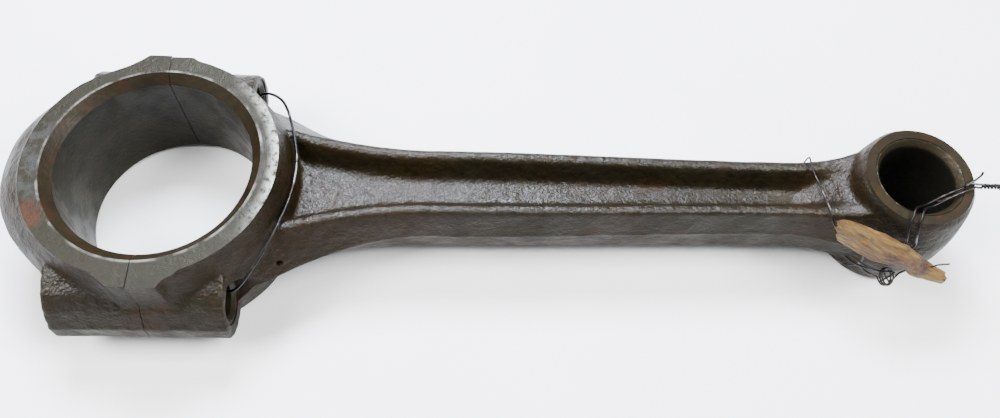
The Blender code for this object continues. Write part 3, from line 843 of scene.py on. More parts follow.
@dataclass(frozen=True)
class BigEnd:
    """The sizes of the split big end, and the blanks and cutters that follow from them."""

    bore: float = 31.33
    chamfer_width: float = 3.13
    chamfer_depth: float = 2.98
    face: float = 40.2
    half: float = 22.07
    rod_flank: float = 5.0
    rod_roundness: float = 1.3
    cap_crown: float = 6.2
    cap_roundness: float = 4.0
    crown_start: float = 122.0
    crown_full: float = 172.0
    hollow: float = 1.3
    hollow_angle: float = 117.0
    hollow_spread: float = 22.0
    hole: float = 5.25
    bolt_y: float = 38.78
    mouth: float = 1.3
    seat_radius: float = 7.8
    seat_depth: float = 0.4
    rod_boss: float = 26.0
    cap_boss: float = 30.0
    boss_outside: float = 9.3
    boss_inside: float = 5.8
    boss_height: float = 13.0
    flash_proud: float = 0.9
    flash_top: float = 0.2
    flash_bottom: float = -6.8
    parting: float = 0.12
    half_arc: float = 98.0
    arc_step: float = 2.0
    past_parting: float = 2.0
    facets: int = 180

    def ring_section(self, degrees: float, stock: float) -> list[Vector]:
        """One section of the ring, from inside the bore out to the forged flank.

        Args:
            degrees: the section's angle from +X.
            stock: what is left on for machining.

        Returns:
            The section's points.
        """
        crown = smooth((abs(degrees) - self.crown_start) / (self.crown_full - self.crown_start))
        flank = self.rod_flank + self.cap_crown * crown
        roundness = blend(self.rod_roundness, self.cap_roundness, crown)
        dip = 1.0 - abs(degrees - self.hollow_angle) / self.hollow_spread
        face = self.face - self.hollow * smooth(dip)
        inside = self.bore - self.chamfer_width
        top = self.half + stock
        outline = [(inside, -top), (face, -top)]
        levels = 16
        for step in range(levels + 1):
            level = 2.0 * step / levels - 1.0
            outline.append((face + flank * (1.0 - abs(level) ** roundness), level * self.half))
        outline += [(face, top), (inside, top)]
        angle = math.radians(degrees)
        ray = Vector((math.cos(angle), math.sin(angle), 0.0))
        return [ray * radius + Vector((0.0, 0.0, height)) for radius, height in outline]

    def arc(self, name: str, first: float, last: float, stock: float) -> bpy.types.Object:
        """The ring's blank between two angles in degrees."""
        count = round(abs(last - first) / self.arc_step)
        sections = []
        for step in range(count + 1):
            degrees = blend(first, last, step / count)
            wrapped = (degrees + 180.0) % 360.0 - 180.0
            sections.append(self.ring_section(wrapped, stock))
        return loft(name, sections)

    def boss(self, name: str, side: Side, start: float, end: float) -> bpy.types.Object:
        """A bolt boss's blank between two distances along the rod."""
        outer = self.bolt_y + self.boss_outside
        inner = self.bolt_y - self.boss_inside
        flash = outer + self.flash_proud
        upper = ((0.0, 1.0), (0.24, 0.96), (0.42, 0.88), (0.58, 0.79), (0.70, 0.66), (0.83, 0.49),
                 (0.92, 0.30))
        lower = ((0.94, -0.72), (0.86, -0.82), (0.66, -0.95), (0.4, -1.0), (0.0, -1.0))
        height = self.boss_height
        outline = [(blend(inner, outer, out), level * height) for out, level in upper]
        outline += [(outer, self.flash_top + self.flash_proud), (flash, self.flash_top),
                    (flash, self.flash_bottom), (outer, self.flash_bottom - self.flash_proud)]
        outline += [(blend(inner, outer, out), level * height) for out, level in lower]
        sections = []
        for along in (start, end):
            sections.append([Vector((along, side.value * across, level)) for across, level in outline])
        return loft(name, sections)

    def lug(
        self, name: str, side: Side, outline: Sequence[tuple[float, float]], stock: float
    ) -> bpy.types.Object:
        """The wider patch beside the parting plane, as wide as its outline of (along, out)."""
        sections = []
        for level in (-self.half - stock, self.half + stock):
            sections.append([Vector((along, side.value * out, level)) for along, out in outline])
        return loft(name, sections)

    def lumps(
        self, label: str, middle: float, boss: tuple[float, float],
        lugs: dict[Side, Sequence[tuple[float, float]]], stock: float,
    ) -> list[bpy.types.Object]:
        """The blanks of one half of the big end, past the parting plane by a little.

        Args:
            label: the half's name.
            middle: the angle in degrees of the middle of its arc.
            boss: where its bolt bosses start and end along the rod.
            lugs: the outline of the patch on each side.
            stock: what is left on for machining.

        Returns:
            The blanks.
        """
        made = [self.arc(f"ring_{label}", middle - self.half_arc, middle + self.half_arc, stock)]
        made += [self.boss(f"boss_{label}_{side.name}", side, *boss) for side in Side]
        made += [self.lug(f"lug_{label}_{side.name}", side, lugs[side], stock) for side in Side]
        return made

    def face_cutters(self, reach: float) -> list[bpy.types.Object]:
        """The two cutters that face the big end, each a block of that reach."""
        return [
            block("cut_top", (-reach, -reach, self.half), (reach, reach, reach)),
            block("cut_bottom", (-reach, -reach, -reach), (reach, reach, -self.half)),
        ]

    def bore_cutter(self) -> bpy.types.Object:
        """The cutter of the crank bore and its two chamfers."""
        over = 4.0
        slope = self.chamfer_width / self.chamfer_depth
        wide = self.bore + self.chamfer_width + slope * over
        deep = self.half - self.chamfer_depth
        return turned("cut_crank_bore", (
            (wide, -self.half - over), (self.bore, -deep), (self.bore, deep), (wide, self.half + over),
        ), self.facets)

    def hole_cutter(self, side: Side, start: float, end: float) -> bpy.types.Object:
        """The cutter of one bolt hole between two distances along the rod."""
        first = Vector((start, side.value * self.bolt_y, 0.0))
        length = end - start
        return drill(f"cut_bolt_{side.name.lower()}", first, first + Vector((length, 0.0, 0.0)),
                     ((self.hole, 0.0), (self.hole, length)), 48)

    def seat_cutter(self, side: Side) -> bpy.types.Object:
        """The cutter of one bolt's spot face with the chamfered mouth of its hole."""
        level = self.rod_boss - self.seat_depth
        first = Vector((level - self.mouth, side.value * self.bolt_y, 0.0))
        profile = (
            (self.hole - 0.05, 0.0), (self.hole + self.mouth, self.mouth),
            (self.seat_radius, self.mouth), (self.seat_radius, self.mouth + 14.0),
        )
        return drill(f"cut_seat_{side.name.lower()}", first, first + Vector((10.0, 0.0, 0.0)),
                     profile, 48)

    def zone_of(self, centre: Vector, normal: Vector) -> Zone | None:
        """The machined zone that a polygon of the big end lies in, or None."""
        reach = math.hypot(centre.x, centre.y)
        if reach < 56.0 and abs(normal.z) > FLAT and abs(abs(centre.z) - self.half) < NEAR_SIZE:
            return Zone.FACE
        if abs(reach - self.bore) < 0.15 and abs(normal.z) < 0.2:
            return Zone.BORE
        widest = self.bore + self.chamfer_width + 0.1
        if self.bore - 0.1 < reach < widest and 0.4 < abs(normal.z) < 0.95:
            return Zone.CHAMFER
        if abs(normal.x) > FLAT and abs(centre.x) < 2.5 * self.parting:
            return Zone.FACE
        from_bolt = math.hypot(abs(centre.y) - self.bolt_y, centre.z)
        if from_bolt < self.hole + self.mouth + 0.1:
            return Zone.BORE
        return None


@dataclass(frozen=True)
class Shank:
    """The H-section shank, which spreads into the big end and rises into the small end."""

    start: float = 26.3
    centres: float = 250.0
    eye_face: float = 17.24
    eye_bulge: float = 4.3
    eye_top: float = 21.74
    housing: float = 14.7
    land: float = 2.54
    half: float = 12.5
    web: float = 4.5
    flange: float = 2.8
    wall_run: float = 5.3
    edge_round: float = 0.8
    flash_big: float = 14.3
    flash_small: float = 11.3
    edge_big: float = 12.2
    edge_small: float = 10.3
    bolt_y: float = 38.78
    root: float = 26.0
    root_length: float = 62.0
    root_sweep: float = 1.9
    root_edge: float = 0.5
    neck_length: float = 20.8
    neck_drop: float = 2.0
    run_out: float = 18.0
    taper_start: float = 65.0
    stations: int = 110
    flash_ridge: float = 0.35

    def section(self, along: float) -> list[Vector]:
        """The H section at one distance from the big end's axis."""
        end = self.centres - self.housing + self.land
        neck_start = self.centres - self.eye_face - self.neck_length
        flare = max(0.0, 1.0 - (along - self.root) / self.root_length)
        spread = (self.bolt_y - self.flash_big) * flare**self.root_sweep
        neck = max(0.0, along - neck_start) / (end - neck_start)
        taper = smooth((along - self.root - self.taper_start)
                       / (neck_start - self.root - self.taper_start))
        flash = blend(self.flash_big, self.flash_small, taper) + spread
        edge = blend(self.edge_big, self.edge_small, taper) + self.root_edge * spread
        height = blend(self.half, self.eye_top - self.neck_drop, neck**3.0)
        flash = blend(flash, self.eye_face, neck**1.4)
        edge = blend(edge, self.eye_face - self.eye_bulge, neck**1.5)
        rise = smooth((along - neck_start) / self.run_out)
        floor = blend(self.web, height - self.edge_round, rise)
        pocket = edge - self.flange
        foot = pocket - self.wall_run
        quarter = [(0.0, floor), (0.5 * foot, floor), (foot, floor)]
        for step in range(1, 8):
            share = step / 8.0
            quarter.append((foot + self.wall_run * share, blend(floor, height, smooth(share))))
        quarter.append((pocket, height))
        quarter.append((edge - self.edge_round, height))
        quarter.append((edge, height - self.edge_round))
        quarter.append((blend(edge, flash, 0.6), 0.45 * height))
        quarter.append((flash, 0.06 * height))
        quarter.append((flash + self.flash_ridge, 0.0))
        upper = quarter + [(across, -level) for across, level in reversed(quarter[:-1])]
        outline = upper + [(-across, level) for across, level in reversed(upper[1:-1])]
        return [Vector((along, across, level)) for across, level in outline]

    def blank(self) -> bpy.types.Object:
        """The shank's blank."""
        end = self.centres - self.housing + self.land
        sections = []
        for step in range(self.stations):
            sections.append(self.section(blend(self.start, end, step / (self.stations - 1))))
        return loft("shank_blank", sections)


@dataclass(frozen=True)
class SmallEnd:
    """The small end's eye: a barrel with machined faces, bored for its bush."""

    centre: float = 250.0
    face: float = 17.24
    half: float = 21.74
    shoulder: float = 1.6
    bulge: float = 4.3
    seat: float = 14.42
    facets: int = 120

    def blank(self, stock: float) -> bpy.types.Object:
        """The eye's blank, which swells to its flash line."""
        rim = self.face + self.shoulder
        wide = self.face + self.bulge
        upper = [
            (wide, 0.08 * self.half), (blend(rim, wide, 0.92), 0.26 * self.half),
            (blend(rim, wide, 0.75), 0.42 * self.half), (blend(rim, wide, 0.35), 0.72 * self.half),
            (rim, self.half - self.shoulder), (self.face + 0.5, self.half - 0.4),
            (self.face, self.half + stock),
        ]
        profile = [(radius, -height) for radius, height in reversed(upper)] + upper
        eye = turned("eye_blank", profile, self.facets)
        eye.data.transform(Matrix.Translation((self.centre, 0.0, 0.0)))
        return eye

    def bore_cutter(self) -> bpy.types.Object:
        """The cutter of the bore that the bush sits in."""
        reach = self.half + 6.0
        profile = (
            (self.seat + 6.3, -reach), (self.seat, -self.half + 0.3), (self.seat, self.half - 0.3),
            (self.seat + 6.3, reach),
        )
        cutter = turned("cut_housing", profile, self.facets)
        cutter.data.transform(Matrix.Translation((self.centre, 0.0, 0.0)))
        return cutter

    def zone_of(self, centre: Vector, normal: Vector) -> Zone | None:
        """The machined zone that a polygon of the small end lies in, or None."""
        reach = math.hypot(centre.x - self.centre, centre.y)
        if reach < 22.0 and abs(normal.z) > FLAT and abs(abs(centre.z) - self.half) < NEAR_SIZE:
            return Zone.CHAMFER
        if reach < self.seat + 0.4:
            return Zone.BORE
        return None


@dataclass
class RodForging:
    """The rod itself: the near half of the big end, the shank and the small end's eye."""

    big: BigEnd
    shank: Shank
    small: SmallEnd
    forge: Forge
    near_lug: tuple[tuple[float, float], ...] = (
        (-2.0, 30.0), (-2.0, 43.6), (8.9, 43.6), (10.6, 40.6), (13.6, 39.0), (17.0, 33.0),
    )
    far_lug: tuple[tuple[float, float], ...] = (
        (-2.0, 30.0), (-2.0, 40.9), (7.4, 40.7), (9.9, 38.4), (14.0, 35.0), (14.0, 30.0),
    )
    oil_start: tuple[float, float, float] = (22.0, -15.0, -1.0)
    oil_end: tuple[float, float, float] = (46.5, -30.6, 5.1)
    oil_radius: float = 1.0

    def blank(self) -> bpy.types.Object:
        """The whole forging before machining."""
        stock = self.forge.stock
        boss = (-self.big.past_parting, self.big.rod_boss)
        lugs = {Side.NEAR: self.near_lug, Side.FAR: self.far_lug}
        lumps = self.big.lumps("rod", 0.0, boss, lugs, stock)
        lumps += [self.shank.blank(), self.small.blank(stock)]
        rod = softened(joined("rod_forging_skin", lumps), self.forge.voxel, self.forge.passes)
        self.forge.roughened(rod)
        return rod

    def cutters(self) -> list[bpy.types.Object]:
        """Every cut that the machine shop makes in the rod."""
        reach = self.forge.reach
        past = self.small.centre - reach / 2.0
        small = self.small.half
        start, end = Vector(self.oil_start), Vector(self.oil_end)
        length = (end - start).length
        overcut, drilled = self.forge.overcut, self.forge.drilled
        return self.big.face_cutters(reach) + [
            block("cut_eye_top", (past, -reach, small), (past + reach, reach, reach)),
            block("cut_eye_bottom", (past, -reach, -reach), (past + reach, reach, -small)),
            block("cut_parting", (-reach, -reach, -reach), (self.big.parting, reach, reach)),
            self.big.bore_cutter(),
            self.small.bore_cutter(),
            *[self.big.hole_cutter(side, -overcut, drilled) for side in Side],
            *[self.big.seat_cutter(side) for side in Side],
            drill("cut_oil", start, end, ((self.oil_radius, 0.0), (self.oil_radius, length)), 20),
        ]

    def zone_of(self, centre: Vector, normal: Vector) -> Zone:
        """The zone of one polygon of the rod."""
        found = self.big.zone_of(centre, normal) or self.small.zone_of(centre, normal)
        return found or Zone.FORGED

    def build(self, datum: Datum, finishes: Sequence[bpy.types.Material]) -> bpy.types.Object:
        """Forge the rod, machine it, dress it and set it on its body.

        Args:
            datum: the rod's datum.
            finishes: the materials in the order of Zone.

        Returns:
            The finished rod.
        """
        rod = cut(self.blank(), self.cutters())
        self.forge.zoned(rod, finishes, self.zone_of, datum)
        fitted(rod, "rod", "rod_forging")
        return rod


@dataclass
class BearingCap:
    """The other half of the big end, which comes off at the parting plane."""

    big: BigEnd
    forge: Forge
    near_lug: tuple[tuple[float, float], ...] = (
        (2.0, 30.0), (2.0, 42.4), (-1.2, 43.4), (-5.4, 43.1), (-10.2, 39.6), (-15.0, 35.6),
        (-15.0, 30.0),
    )
    far_lug: tuple[tuple[float, float], ...] = (
        (2.0, 30.0), (2.0, 41.2), (-7.4, 41.4), (-10.0, 39.2), (-13.4, 36.9), (-17.0, 33.0),
    )

    def build(self, datum: Datum, finishes: Sequence[bpy.types.Material]) -> bpy.types.Object:
        """Forge the cap, machine it, dress it and set it on its body.

        Args:
            datum: the rod's datum.
            finishes: the materials in the order of Zone.

        Returns:
            The finished cap.
        """
        reach = self.forge.reach
        boss = (-self.big.cap_boss, self.big.past_parting)
        lugs = {Side.NEAR: self.near_lug, Side.FAR: self.far_lug}
        lumps = self.big.lumps("cap", 180.0, boss, lugs, self.forge.stock)
        cap = softened(joined("bearing_cap_skin", lumps), self.forge.voxel, self.forge.passes)
        self.forge.roughened(cap)
        overcut, drilled = self.forge.overcut, self.forge.drilled
        cut(cap, self.big.face_cutters(reach) + [
            block("cut_parting", (-self.big.parting, -reach, -reach), (reach, reach, reach)),
            self.big.bore_cutter(),
            *[self.big.hole_cutter(side, -drilled, overcut) for side in Side],
        ])
        self.forge.zoned(
            cap, finishes, lambda centre, normal: self.big.zone_of(centre, normal) or Zone.FORGED,
            datum,
        )
        fitted(cap, "cap", "big_end_cap")
        return cap


# ---------------------------------------------------------------- fitted pieces


@dataclass
class Bush:
    """The small end's bush, with a rounded and chamfered mouth at both ends."""

    centre: float = 250.0
    bore: float = 12.68
    outer: float = 14.40
    half: float = 21.74
    chamfer_width: float = 1.4
    chamfer_depth: float = 2.24
    round_off: float = 0.18
    facets: int = 120

    def build(self, datum: Datum, finish: bpy.types.Material) -> bpy.types.Object:
        """Turn the bush, dress it and set it on its body."""
        lip = self.bore + self.chamfer_width
        small = self.round_off
        upper = [
            (self.outer, self.half - small), (self.outer - small, self.half),
            (lip + small, self.half), (lip, self.half - small),
            (self.bore + small, self.half - self.chamfer_depth + small),
            (self.bore, self.half - self.chamfer_depth - small),
        ]
        profile = upper + [(radius, -height) for radius, height in reversed(upper)]
        bush = ring("small_end_bush_turned", profile, self.facets)
        bush.data.transform(Matrix.Translation((self.centre, 0.0, 0.0)))
        dressed(bush, finish, datum, LATHE_SHARP)
        fitted(bush, "rod", "small_end_bush")
        return bush


@dataclass
class Dowel:
    """A hollow dowel round one bolt hole, across the parting plane."""

    side: Side
    bolt_y: float = 38.78
    bore: float = 5.25
    outer: float = 6.25
    half: float = 4.5
    round_off: float = 0.25
    facets: int = 72

    def build(self, datum: Datum, finish: bpy.types.Material) -> bpy.types.Object:
        """Turn the dowel, dress it and set it on its body."""
        end = self.half - self.round_off
        upper = [(self.outer, end), (self.outer - self.round_off, self.half),
                 (self.bore + self.round_off, self.half), (self.bore, end)]
        profile = upper + [(radius, -height) for radius, height in reversed(upper)]
        label = self.side.name.lower()
        dowel = ring(f"ring_dowel_{label}_turned", profile, self.facets)
        turn = Matrix.Rotation(math.radians(90.0), 4, "Y")
        place = Matrix.Translation((0.0, self.side.value * self.bolt_y, 0.0))
        dowel.data.transform(place @ turn)
        dressed(dowel, finish, datum, LATHE_SHARP)
        fitted(dowel, "rod", f"ring_dowel_{label}")
        return dowel


# ---------------------------------------------------------------- wires


@dataclass(frozen=True)
class Wire:
    """One bent wire, drawn along points in millimetres from the datum."""

    name: str
    radius: float
    body: str
    node: str | None = None
    kink: float = 0.06
    seed: int = 1

    def build(
        self, datum: Datum, points: Sequence[Vector], finish: bpy.types.Material
    ) -> bpy.types.Object:
        """Bend the wire, dress it and set it on its body.

        Args:
            datum: the rod's datum.
            points: the wire's centre line.
            finish: the wire's material.

        Returns:
            The wire.
        """
        curve = bpy.data.curves.new(self.name, "CURVE")
        curve.dimensions = "3D"
        curve.bevel_depth = self.radius * MM
        curve.bevel_resolution = 4
        curve.use_fill_caps = True
        spline = curve.splines.new("POLY")
        spline.points.add(len(points) - 1)
        for knot, point in zip(spline.points, points):
            shake = noise.noise_vector(point / 3.0 + Vector((self.seed, 0.0, 0.0))) * self.kink
            knot.co = (*datum.world(point + shake), 1.0)
        curve.materials.append(finish)
        piece = bpy.data.objects.new(self.name, curve)
        bpy.context.scene.collection.objects.link(piece)
        fitted(piece, self.body, self.node)
        return piece


def twisted(
    route: Sequence[Sequence[float]], turns: float, phase: float, radius: float
) -> list[Vector]:
    """A strand of a twisted pair that winds round a route.

    Args:
        route: the pair's middle line.
        turns: how often the pair turns.
        phase: where the strand starts round the line, in radians.
        radius: how far the strand is from the line.

    Returns:
        The strand's points.
    """
    line = smooth_route(route, 0.25)
    count = max(2, round(turns * 20))
    held = (line[1] - line[0]).orthogonal().normalized()
    strand = []
    for step in range(count + 1):
        share = step / count * (len(line) - 1)
        index = min(int(share), len(line) - 2)
        centre = line[index].lerp(line[index + 1], share - index)
        ahead = (line[index + 1] - line[index]).normalized()
        side = ahead.orthogonal().normalized()
        if side.dot(held) < 0.0:
            side = -side
        held = side
        angle = phase + FULL_TURN * turns * step / count
        strand.append(centre + (side * math.cos(angle) + ahead.cross(side) * math.sin(angle)) * radius)
    return strand


@dataclass
class CapTie:
    """The wire through both bolt holes, twisted up behind the cap."""

    radius: float = 0.5
    twist: float = 0.73
    turns: float = 2.5
    route: tuple[tuple[float, float, float], ...] = (
        (-51.4, -1.2, -16.9), (-50.0, -10.0, -16.8), (-46.9, -19.0, -16.8), (-42.4, -26.0, -16.4),
        (-37.8, -31.0, -15.0), (-34.6, -34.2, -10.5), (-33.7, -35.8, -5.0), (-33.3, -36.5, 0.0),
        (-30.6, -36.6, 2.6), (-20.0, -36.4, 3.1), (5.0, -36.4, 3.1), (22.0, -36.4, 3.1),
        (26.6, -36.8, 4.0), (29.6, -35.7, 6.4), (33.2, -31.8, 9.6), (36.9, -26.4, 12.4),
        (40.4, -18.6, 13.9), (43.0, -10.0, 13.9), (44.3, -2.0, 13.9), (44.4, 5.0, 13.9),
        (43.6, 11.0, 13.9), (41.4, 19.4, 13.9), (39.0, 26.2, 12.8), (36.4, 31.0, 11.7),
        (32.8, 34.2, 10.4), (29.4, 35.8, 8.8), (26.4, 36.6, 5.8), (22.0, 36.4, 3.1),
        (5.0, 36.4, 3.1), (-20.0, 36.4, 3.1), (-30.6, 36.6, 2.6), (-33.3, 36.5, 0.0),
        (-33.7, 35.8, -5.0), (-34.6, 34.2, -10.5), (-37.8, 31.0, -15.0), (-42.4, 26.0, -16.4),
        (-46.9, 19.0, -16.8), (-50.0, 10.0, -16.8), (-51.4, 1.2, -16.9),
    )
    tail: tuple[tuple[float, float, float], ...] = (
        (-51.6, 0.0, -17.4), (-52.0, 1.6, -18.6), (-51.6, 5.0, -19.4), (-50.4, 9.0, -19.6),
    )

    def build(self, datum: Datum, finish: bpy.types.Material) -> bpy.types.Object:
        """Bend the tie round the cap."""
        ends = [twisted(self.tail, self.turns, phase, self.twist) for phase in (0.0, math.pi)]
        points = ends[0][::-1] + smooth_route(self.route, 0.8)[1:-1] + ends[1]
        wire = Wire("cap_tie", self.radius, "rod", "cap_tie_wire", kink=0.05)
        return wire.build(datum, points, finish)


@dataclass
class SmallEndWires:
    """The thin wires at the small end, which hold the splinter against it."""

    centre: float = 250.0
    shank_radius: float = 0.3
    eye_radius: float = 0.38
    twist: float = 0.56
    turns: float = 4.0
    shank_route: tuple[tuple[float, float, float], ...] = (
        (-23.2, -15.2, 4.6), (-25.2, -14.2, 8.6), (-27.6, -12.7, 12.0), (-28.5, -10.4, 13.8),
        (-29.0, -7.4, 13.9), (-30.7, 0.9, 13.7), (-31.9, 6.0, 13.6), (-32.1, 10.0, 13.6),
        (-32.1, 11.9, 12.3), (-31.8, 12.8, 6.0), (-31.4, 13.4, 0.0), (-30.8, 13.0, -6.0),
        (-30.0, 12.2, -12.3), (-29.0, 10.0, -14.4), (-24.2, 1.0, -14.6), (-18.0, -9.1, -18.1),
        (-13.9, -14.7, -16.2), (-12.2, -18.2, -9.0), (-13.0, -18.6, -2.0), (-15.8, -17.3, 2.2),
        (-18.6, -16.2, 3.8),
    )
    eye_route: tuple[tuple[float, float, float], ...] = (
        (18.4, -3.2, 22.5), (16.0, -3.1, 22.7), (12.4, -4.6, 22.6), (6.4, -7.0, 21.7),
        (0.8, -9.6, 20.6), (-2.4, -11.2, 21.6), (-4.8, -12.6, 23.0), (-6.4, -15.6, 22.8),
        (-7.3, -18.0, 20.9), (-7.0, -20.4, 17.6), (-5.8, -21.5, 13.4), (-3.6, -21.7, 12.2),
        (-3.3, -21.7, 14.6), (-4.1, -20.6, 18.0), (-4.3, -18.6, 20.8), (-3.8, -16.2, 22.7),
        (-2.4, -13.4, 23.0), (-0.4, -11.8, 21.8), (2.4, -10.6, 21.0), (7.4, -8.2, 21.8),
        (13.2, -5.8, 22.6), (16.6, -4.4, 22.7), (18.4, -3.9, 21.6),
    )
    tail: tuple[tuple[float, float, float], ...] = (
        (19.6, -3.5, 22.0), (22.4, -3.6, 22.0), (25.6, -3.6, 21.8), (28.0, -5.2, 20.6),
    )
    cut_end: tuple[tuple[float, float, float], ...] = (
        (13.0, -4.4, 23.4), (16.2, -2.6, 23.5), (19.0, -0.6, 24.0), (19.4, 0.2, 24.9),
    )
    loose_loop: tuple[tuple[float, float, float], ...] = (
        (9.2, -7.2, 22.0), (5.4, -8.2, 20.0), (3.6, -7.6, 17.6), (5.0, -6.4, 16.8),
        (6.6, -7.2, 18.0), (5.6, -8.4, 19.6),
    )

    def moved(self, route: Sequence[Sequence[float]]) -> list[Vector]:
        """A route from the small end's axis, as points from the datum."""
        return [Vector(point) + Vector((self.centre, 0.0, 0.0)) for point in route]

    def build(self, datum: Datum, finish: bpy.types.Material) -> list[bpy.types.Object]:
        """Bend the wires round the shank and the eye."""
        winding = Wire("shank_winding", self.shank_radius, "rod", "shank_wire", seed=3)
        ends = [twisted(self.moved(self.tail), self.turns, phase, self.twist)
                for phase in (0.0, math.pi)]
        loop = smooth_route(self.moved(self.eye_route), 0.5)
        sling = Wire("eye_sling", self.eye_radius, "rod", "eye_wire", kink=0.04, seed=5)
        snipped = Wire("snipped_end", self.eye_radius, "rod", seed=7)
        curl = Wire("loose_curl", self.shank_radius, "rod", seed=11)
        return [
            winding.build(datum, smooth_route(self.moved(self.shank_route), 0.5), finish),
            sling.build(datum, ends[0][::-1] + loop + ends[1], finish),
            snipped.build(datum, smooth_route(self.moved(self.cut_end), 0.4), finish),
            curl.build(datum, smooth_route(self.moved(self.loose_loop), 0.3), finish),
        ]


# ---------------------------------------------------------------- the splinter


@dataclass
class Splinter:
    """The splinter of wood with its own small wires, all measured from the eye's near flank."""

    centre: float = 250.0
    flank: float = 21.54
    stations: tuple[tuple[tuple[float, float, float], tuple[float, float, float], float], ...] = (
        ((-28.4, 6.9, 16.2), (-25.7, 3.9, 7.9), 1.6),
        ((-26.6, 6.2, 18.6), (-21.8, 2.5, 6.0), 2.0),
        ((-21.8, 4.1, 19.0), (-17.4, 0.1, 5.0), 2.2),
        ((-16.0, 1.3, 19.0), (-12.6, -3.4, 6.4), 2.4),
        ((-9.7, -0.9, 17.4), (-6.8, -5.7, 8.2), 2.4),
        ((-3.6, -2.7, 14.2), (-1.2, -7.1, 4.4), 2.4),
        ((3.1, -4.1, 8.9), (5.6, -7.5, 1.6), 2.2),
        ((9.7, -5.9, 5.6), (10.7, -7.9, 0.2), 1.4),
    )
    crown: float = 0.9
    around: int = 56
    spacing: float = 0.35
    squareness: float = 1.5
    fibre: float = 0.34
    fibre_scale: float = 5.28
    fibre_run: float = 0.144
    chip_size: float = 3.2
    ragged: float = 1.5
    ragged_scale: float = 3.0
    ragged_seed: float = 7.0
    torn_share: float = 1.0 / 12.0
    end_split: float = 0.4
    sharp: float = 55.0
    wire_radius: float = 0.3
    coil_centre: tuple[float, float, float] = (-8.4, -5.9, 1.6)
    coil_radius: float = 2.9
    coil_turns: float = 2.25
    coil_pitch: float = 1.0
    coil_normal: tuple[float, float, float] = (0.40, -0.35, 0.85)
    lead: tuple[tuple[float, float, float], ...] = (
        (-16.4, -1.9, 1.2), (-14.4, -3.5, 0.4), (-11.8, -4.7, -0.4),
    )
    lead_end: tuple[tuple[float, float, float], ...] = ((-4.4, -5.1, 3.2), (-2.6, -4.5, 3.4))
    stray_ends: tuple[tuple[tuple[float, float, float], ...], ...] = (
        ((-22.0, 0.6, 3.4), (-18.6, -1.6, 2.6), (-14.0, -3.6, 2.6), (-9.6, -5.2, 3.6)),
        ((-20.6, 0.0, 5.0), (-16.4, -2.8, 4.2), (-12.0, -4.6, 3.6), (-7.4, -5.4, 4.8)),
        ((-10.6, -7.4, 1.0), (-8.2, -6.4, 2.4), (-6.2, -5.0, 3.6)),
        ((-9.6, -4.2, 2.8), (-8.6, -6.0, 2.0), (-7.4, -7.8, 1.2)),
        ((3.4, -5.6, 9.4), (6.4, -4.6, 9.0), (10.0, -4.2, 8.8)),
    )

    def moved(self, point: Sequence[float]) -> Vector:
        """A point from the eye's near flank, as one from the datum."""
        return Vector(point) + Vector((self.centre, -self.flank, 0.0))

    def grain(self) -> Vector:
        """The direction that the wood's grain runs in."""
        return (Vector(self.stations[-1][0]) - Vector(self.stations[0][0])).normalized()

    def torn_section(
        self, middle: Vector, half_height: Vector, half_depth: Vector, step: int, share: float
    ) -> list[Vector]:
        """One section with its fibre grooves, its chips and its torn ends.

        Args:
            middle: the section's middle.
            half_height: from the middle to its top.
            half_depth: from the middle to its outer face.
            step: the section's number.
            share: how far along the splinter it is, from 0 to 1.

        Returns:
            The section's points.
        """
        grain = self.grain()
        body = min(1.0, 4.0 * share * (1.0 - share) + self.end_split)
        edge = max(0.0, 1.0 - min(share, 1.0 - share) / self.torn_share)
        outward = math.copysign(edge, share - 0.5)
        section = []
        for turn in range(self.around):
            angle = FULL_TURN * turn / self.around
            cosine, sine = math.cos(angle), math.sin(angle)
            corners = abs(cosine) ** self.squareness + abs(sine) ** self.squareness
            ray = (half_height * cosine + half_depth * sine) * corners ** (-1.0 / self.squareness)
            point = middle + ray
            run = self.fibre_run * step * self.spacing
            streak = Vector((self.fibre_scale * cosine, self.fibre_scale * sine, run))
            groove = 2.0 * abs(noise.noise(streak)) - 0.5
            split = (groove + noise.noise(point / self.chip_size)) * self.fibre * body
            tear = Vector((self.ragged_scale * cosine, self.ragged_scale * sine, self.ragged_seed))
            torn = noise.noise(tear) * self.ragged
            section.append(point + ray.normalized() * split + grain * (outward * torn))
        return section

    def shell(self) -> list[list[Vector]]:
        """Round sections along the splinter, each with its torn fibres."""
        tops = smooth_route([self.moved(top) for top, _, _ in self.stations], self.spacing)
        count = len(tops)
        lows = smooth_route([self.moved(low) for _, low, _ in self.stations], self.spacing)
        backs = [thickness for _, _, thickness in self.stations]
        grain = self.grain()
        sections = []
        for step, high in enumerate(tops):
            share = step / (count - 1)
            low = lows[min(round(share * (len(lows) - 1)), len(lows) - 1)]
            spot = share * (len(backs) - 1)
            index = min(int(spot), len(backs) - 2)
            back = blend(backs[index], backs[index + 1], spot - index)
            out = grain.cross(high - low).normalized()
            middle = (high + low) / 2.0 + out * (self.crown - back) / 2.0
            half_height = (high - low) / 2.0
            half_depth = out * (self.crown + back) / 2.0
            sections.append(self.torn_section(middle, half_height, half_depth, step, share))
        return sections

    def coil(self) -> list[Vector]:
        """The small coil's wire with its lead and its end."""
        normal = Vector(self.coil_normal).normalized()
        side = normal.orthogonal().normalized()
        across = normal.cross(side)
        centre = Vector(self.coil_centre)
        points = [Vector(point) for point in self.lead]
        count = round(self.coil_turns * 36)
        start = points[-1] - centre
        phase = math.atan2(start.dot(across), start.dot(side))
        for step in range(1, count):
            turn = FULL_TURN * self.coil_turns * step / count
            ray = side * math.cos(phase + turn) + across * math.sin(phase + turn)
            lift = normal * (self.coil_pitch * self.coil_turns * (step / count - 0.5))
            points.append(centre + ray * self.coil_radius + lift)
        points.extend(Vector(point) for point in self.lead_end)
        return [self.moved(point) for point in points]

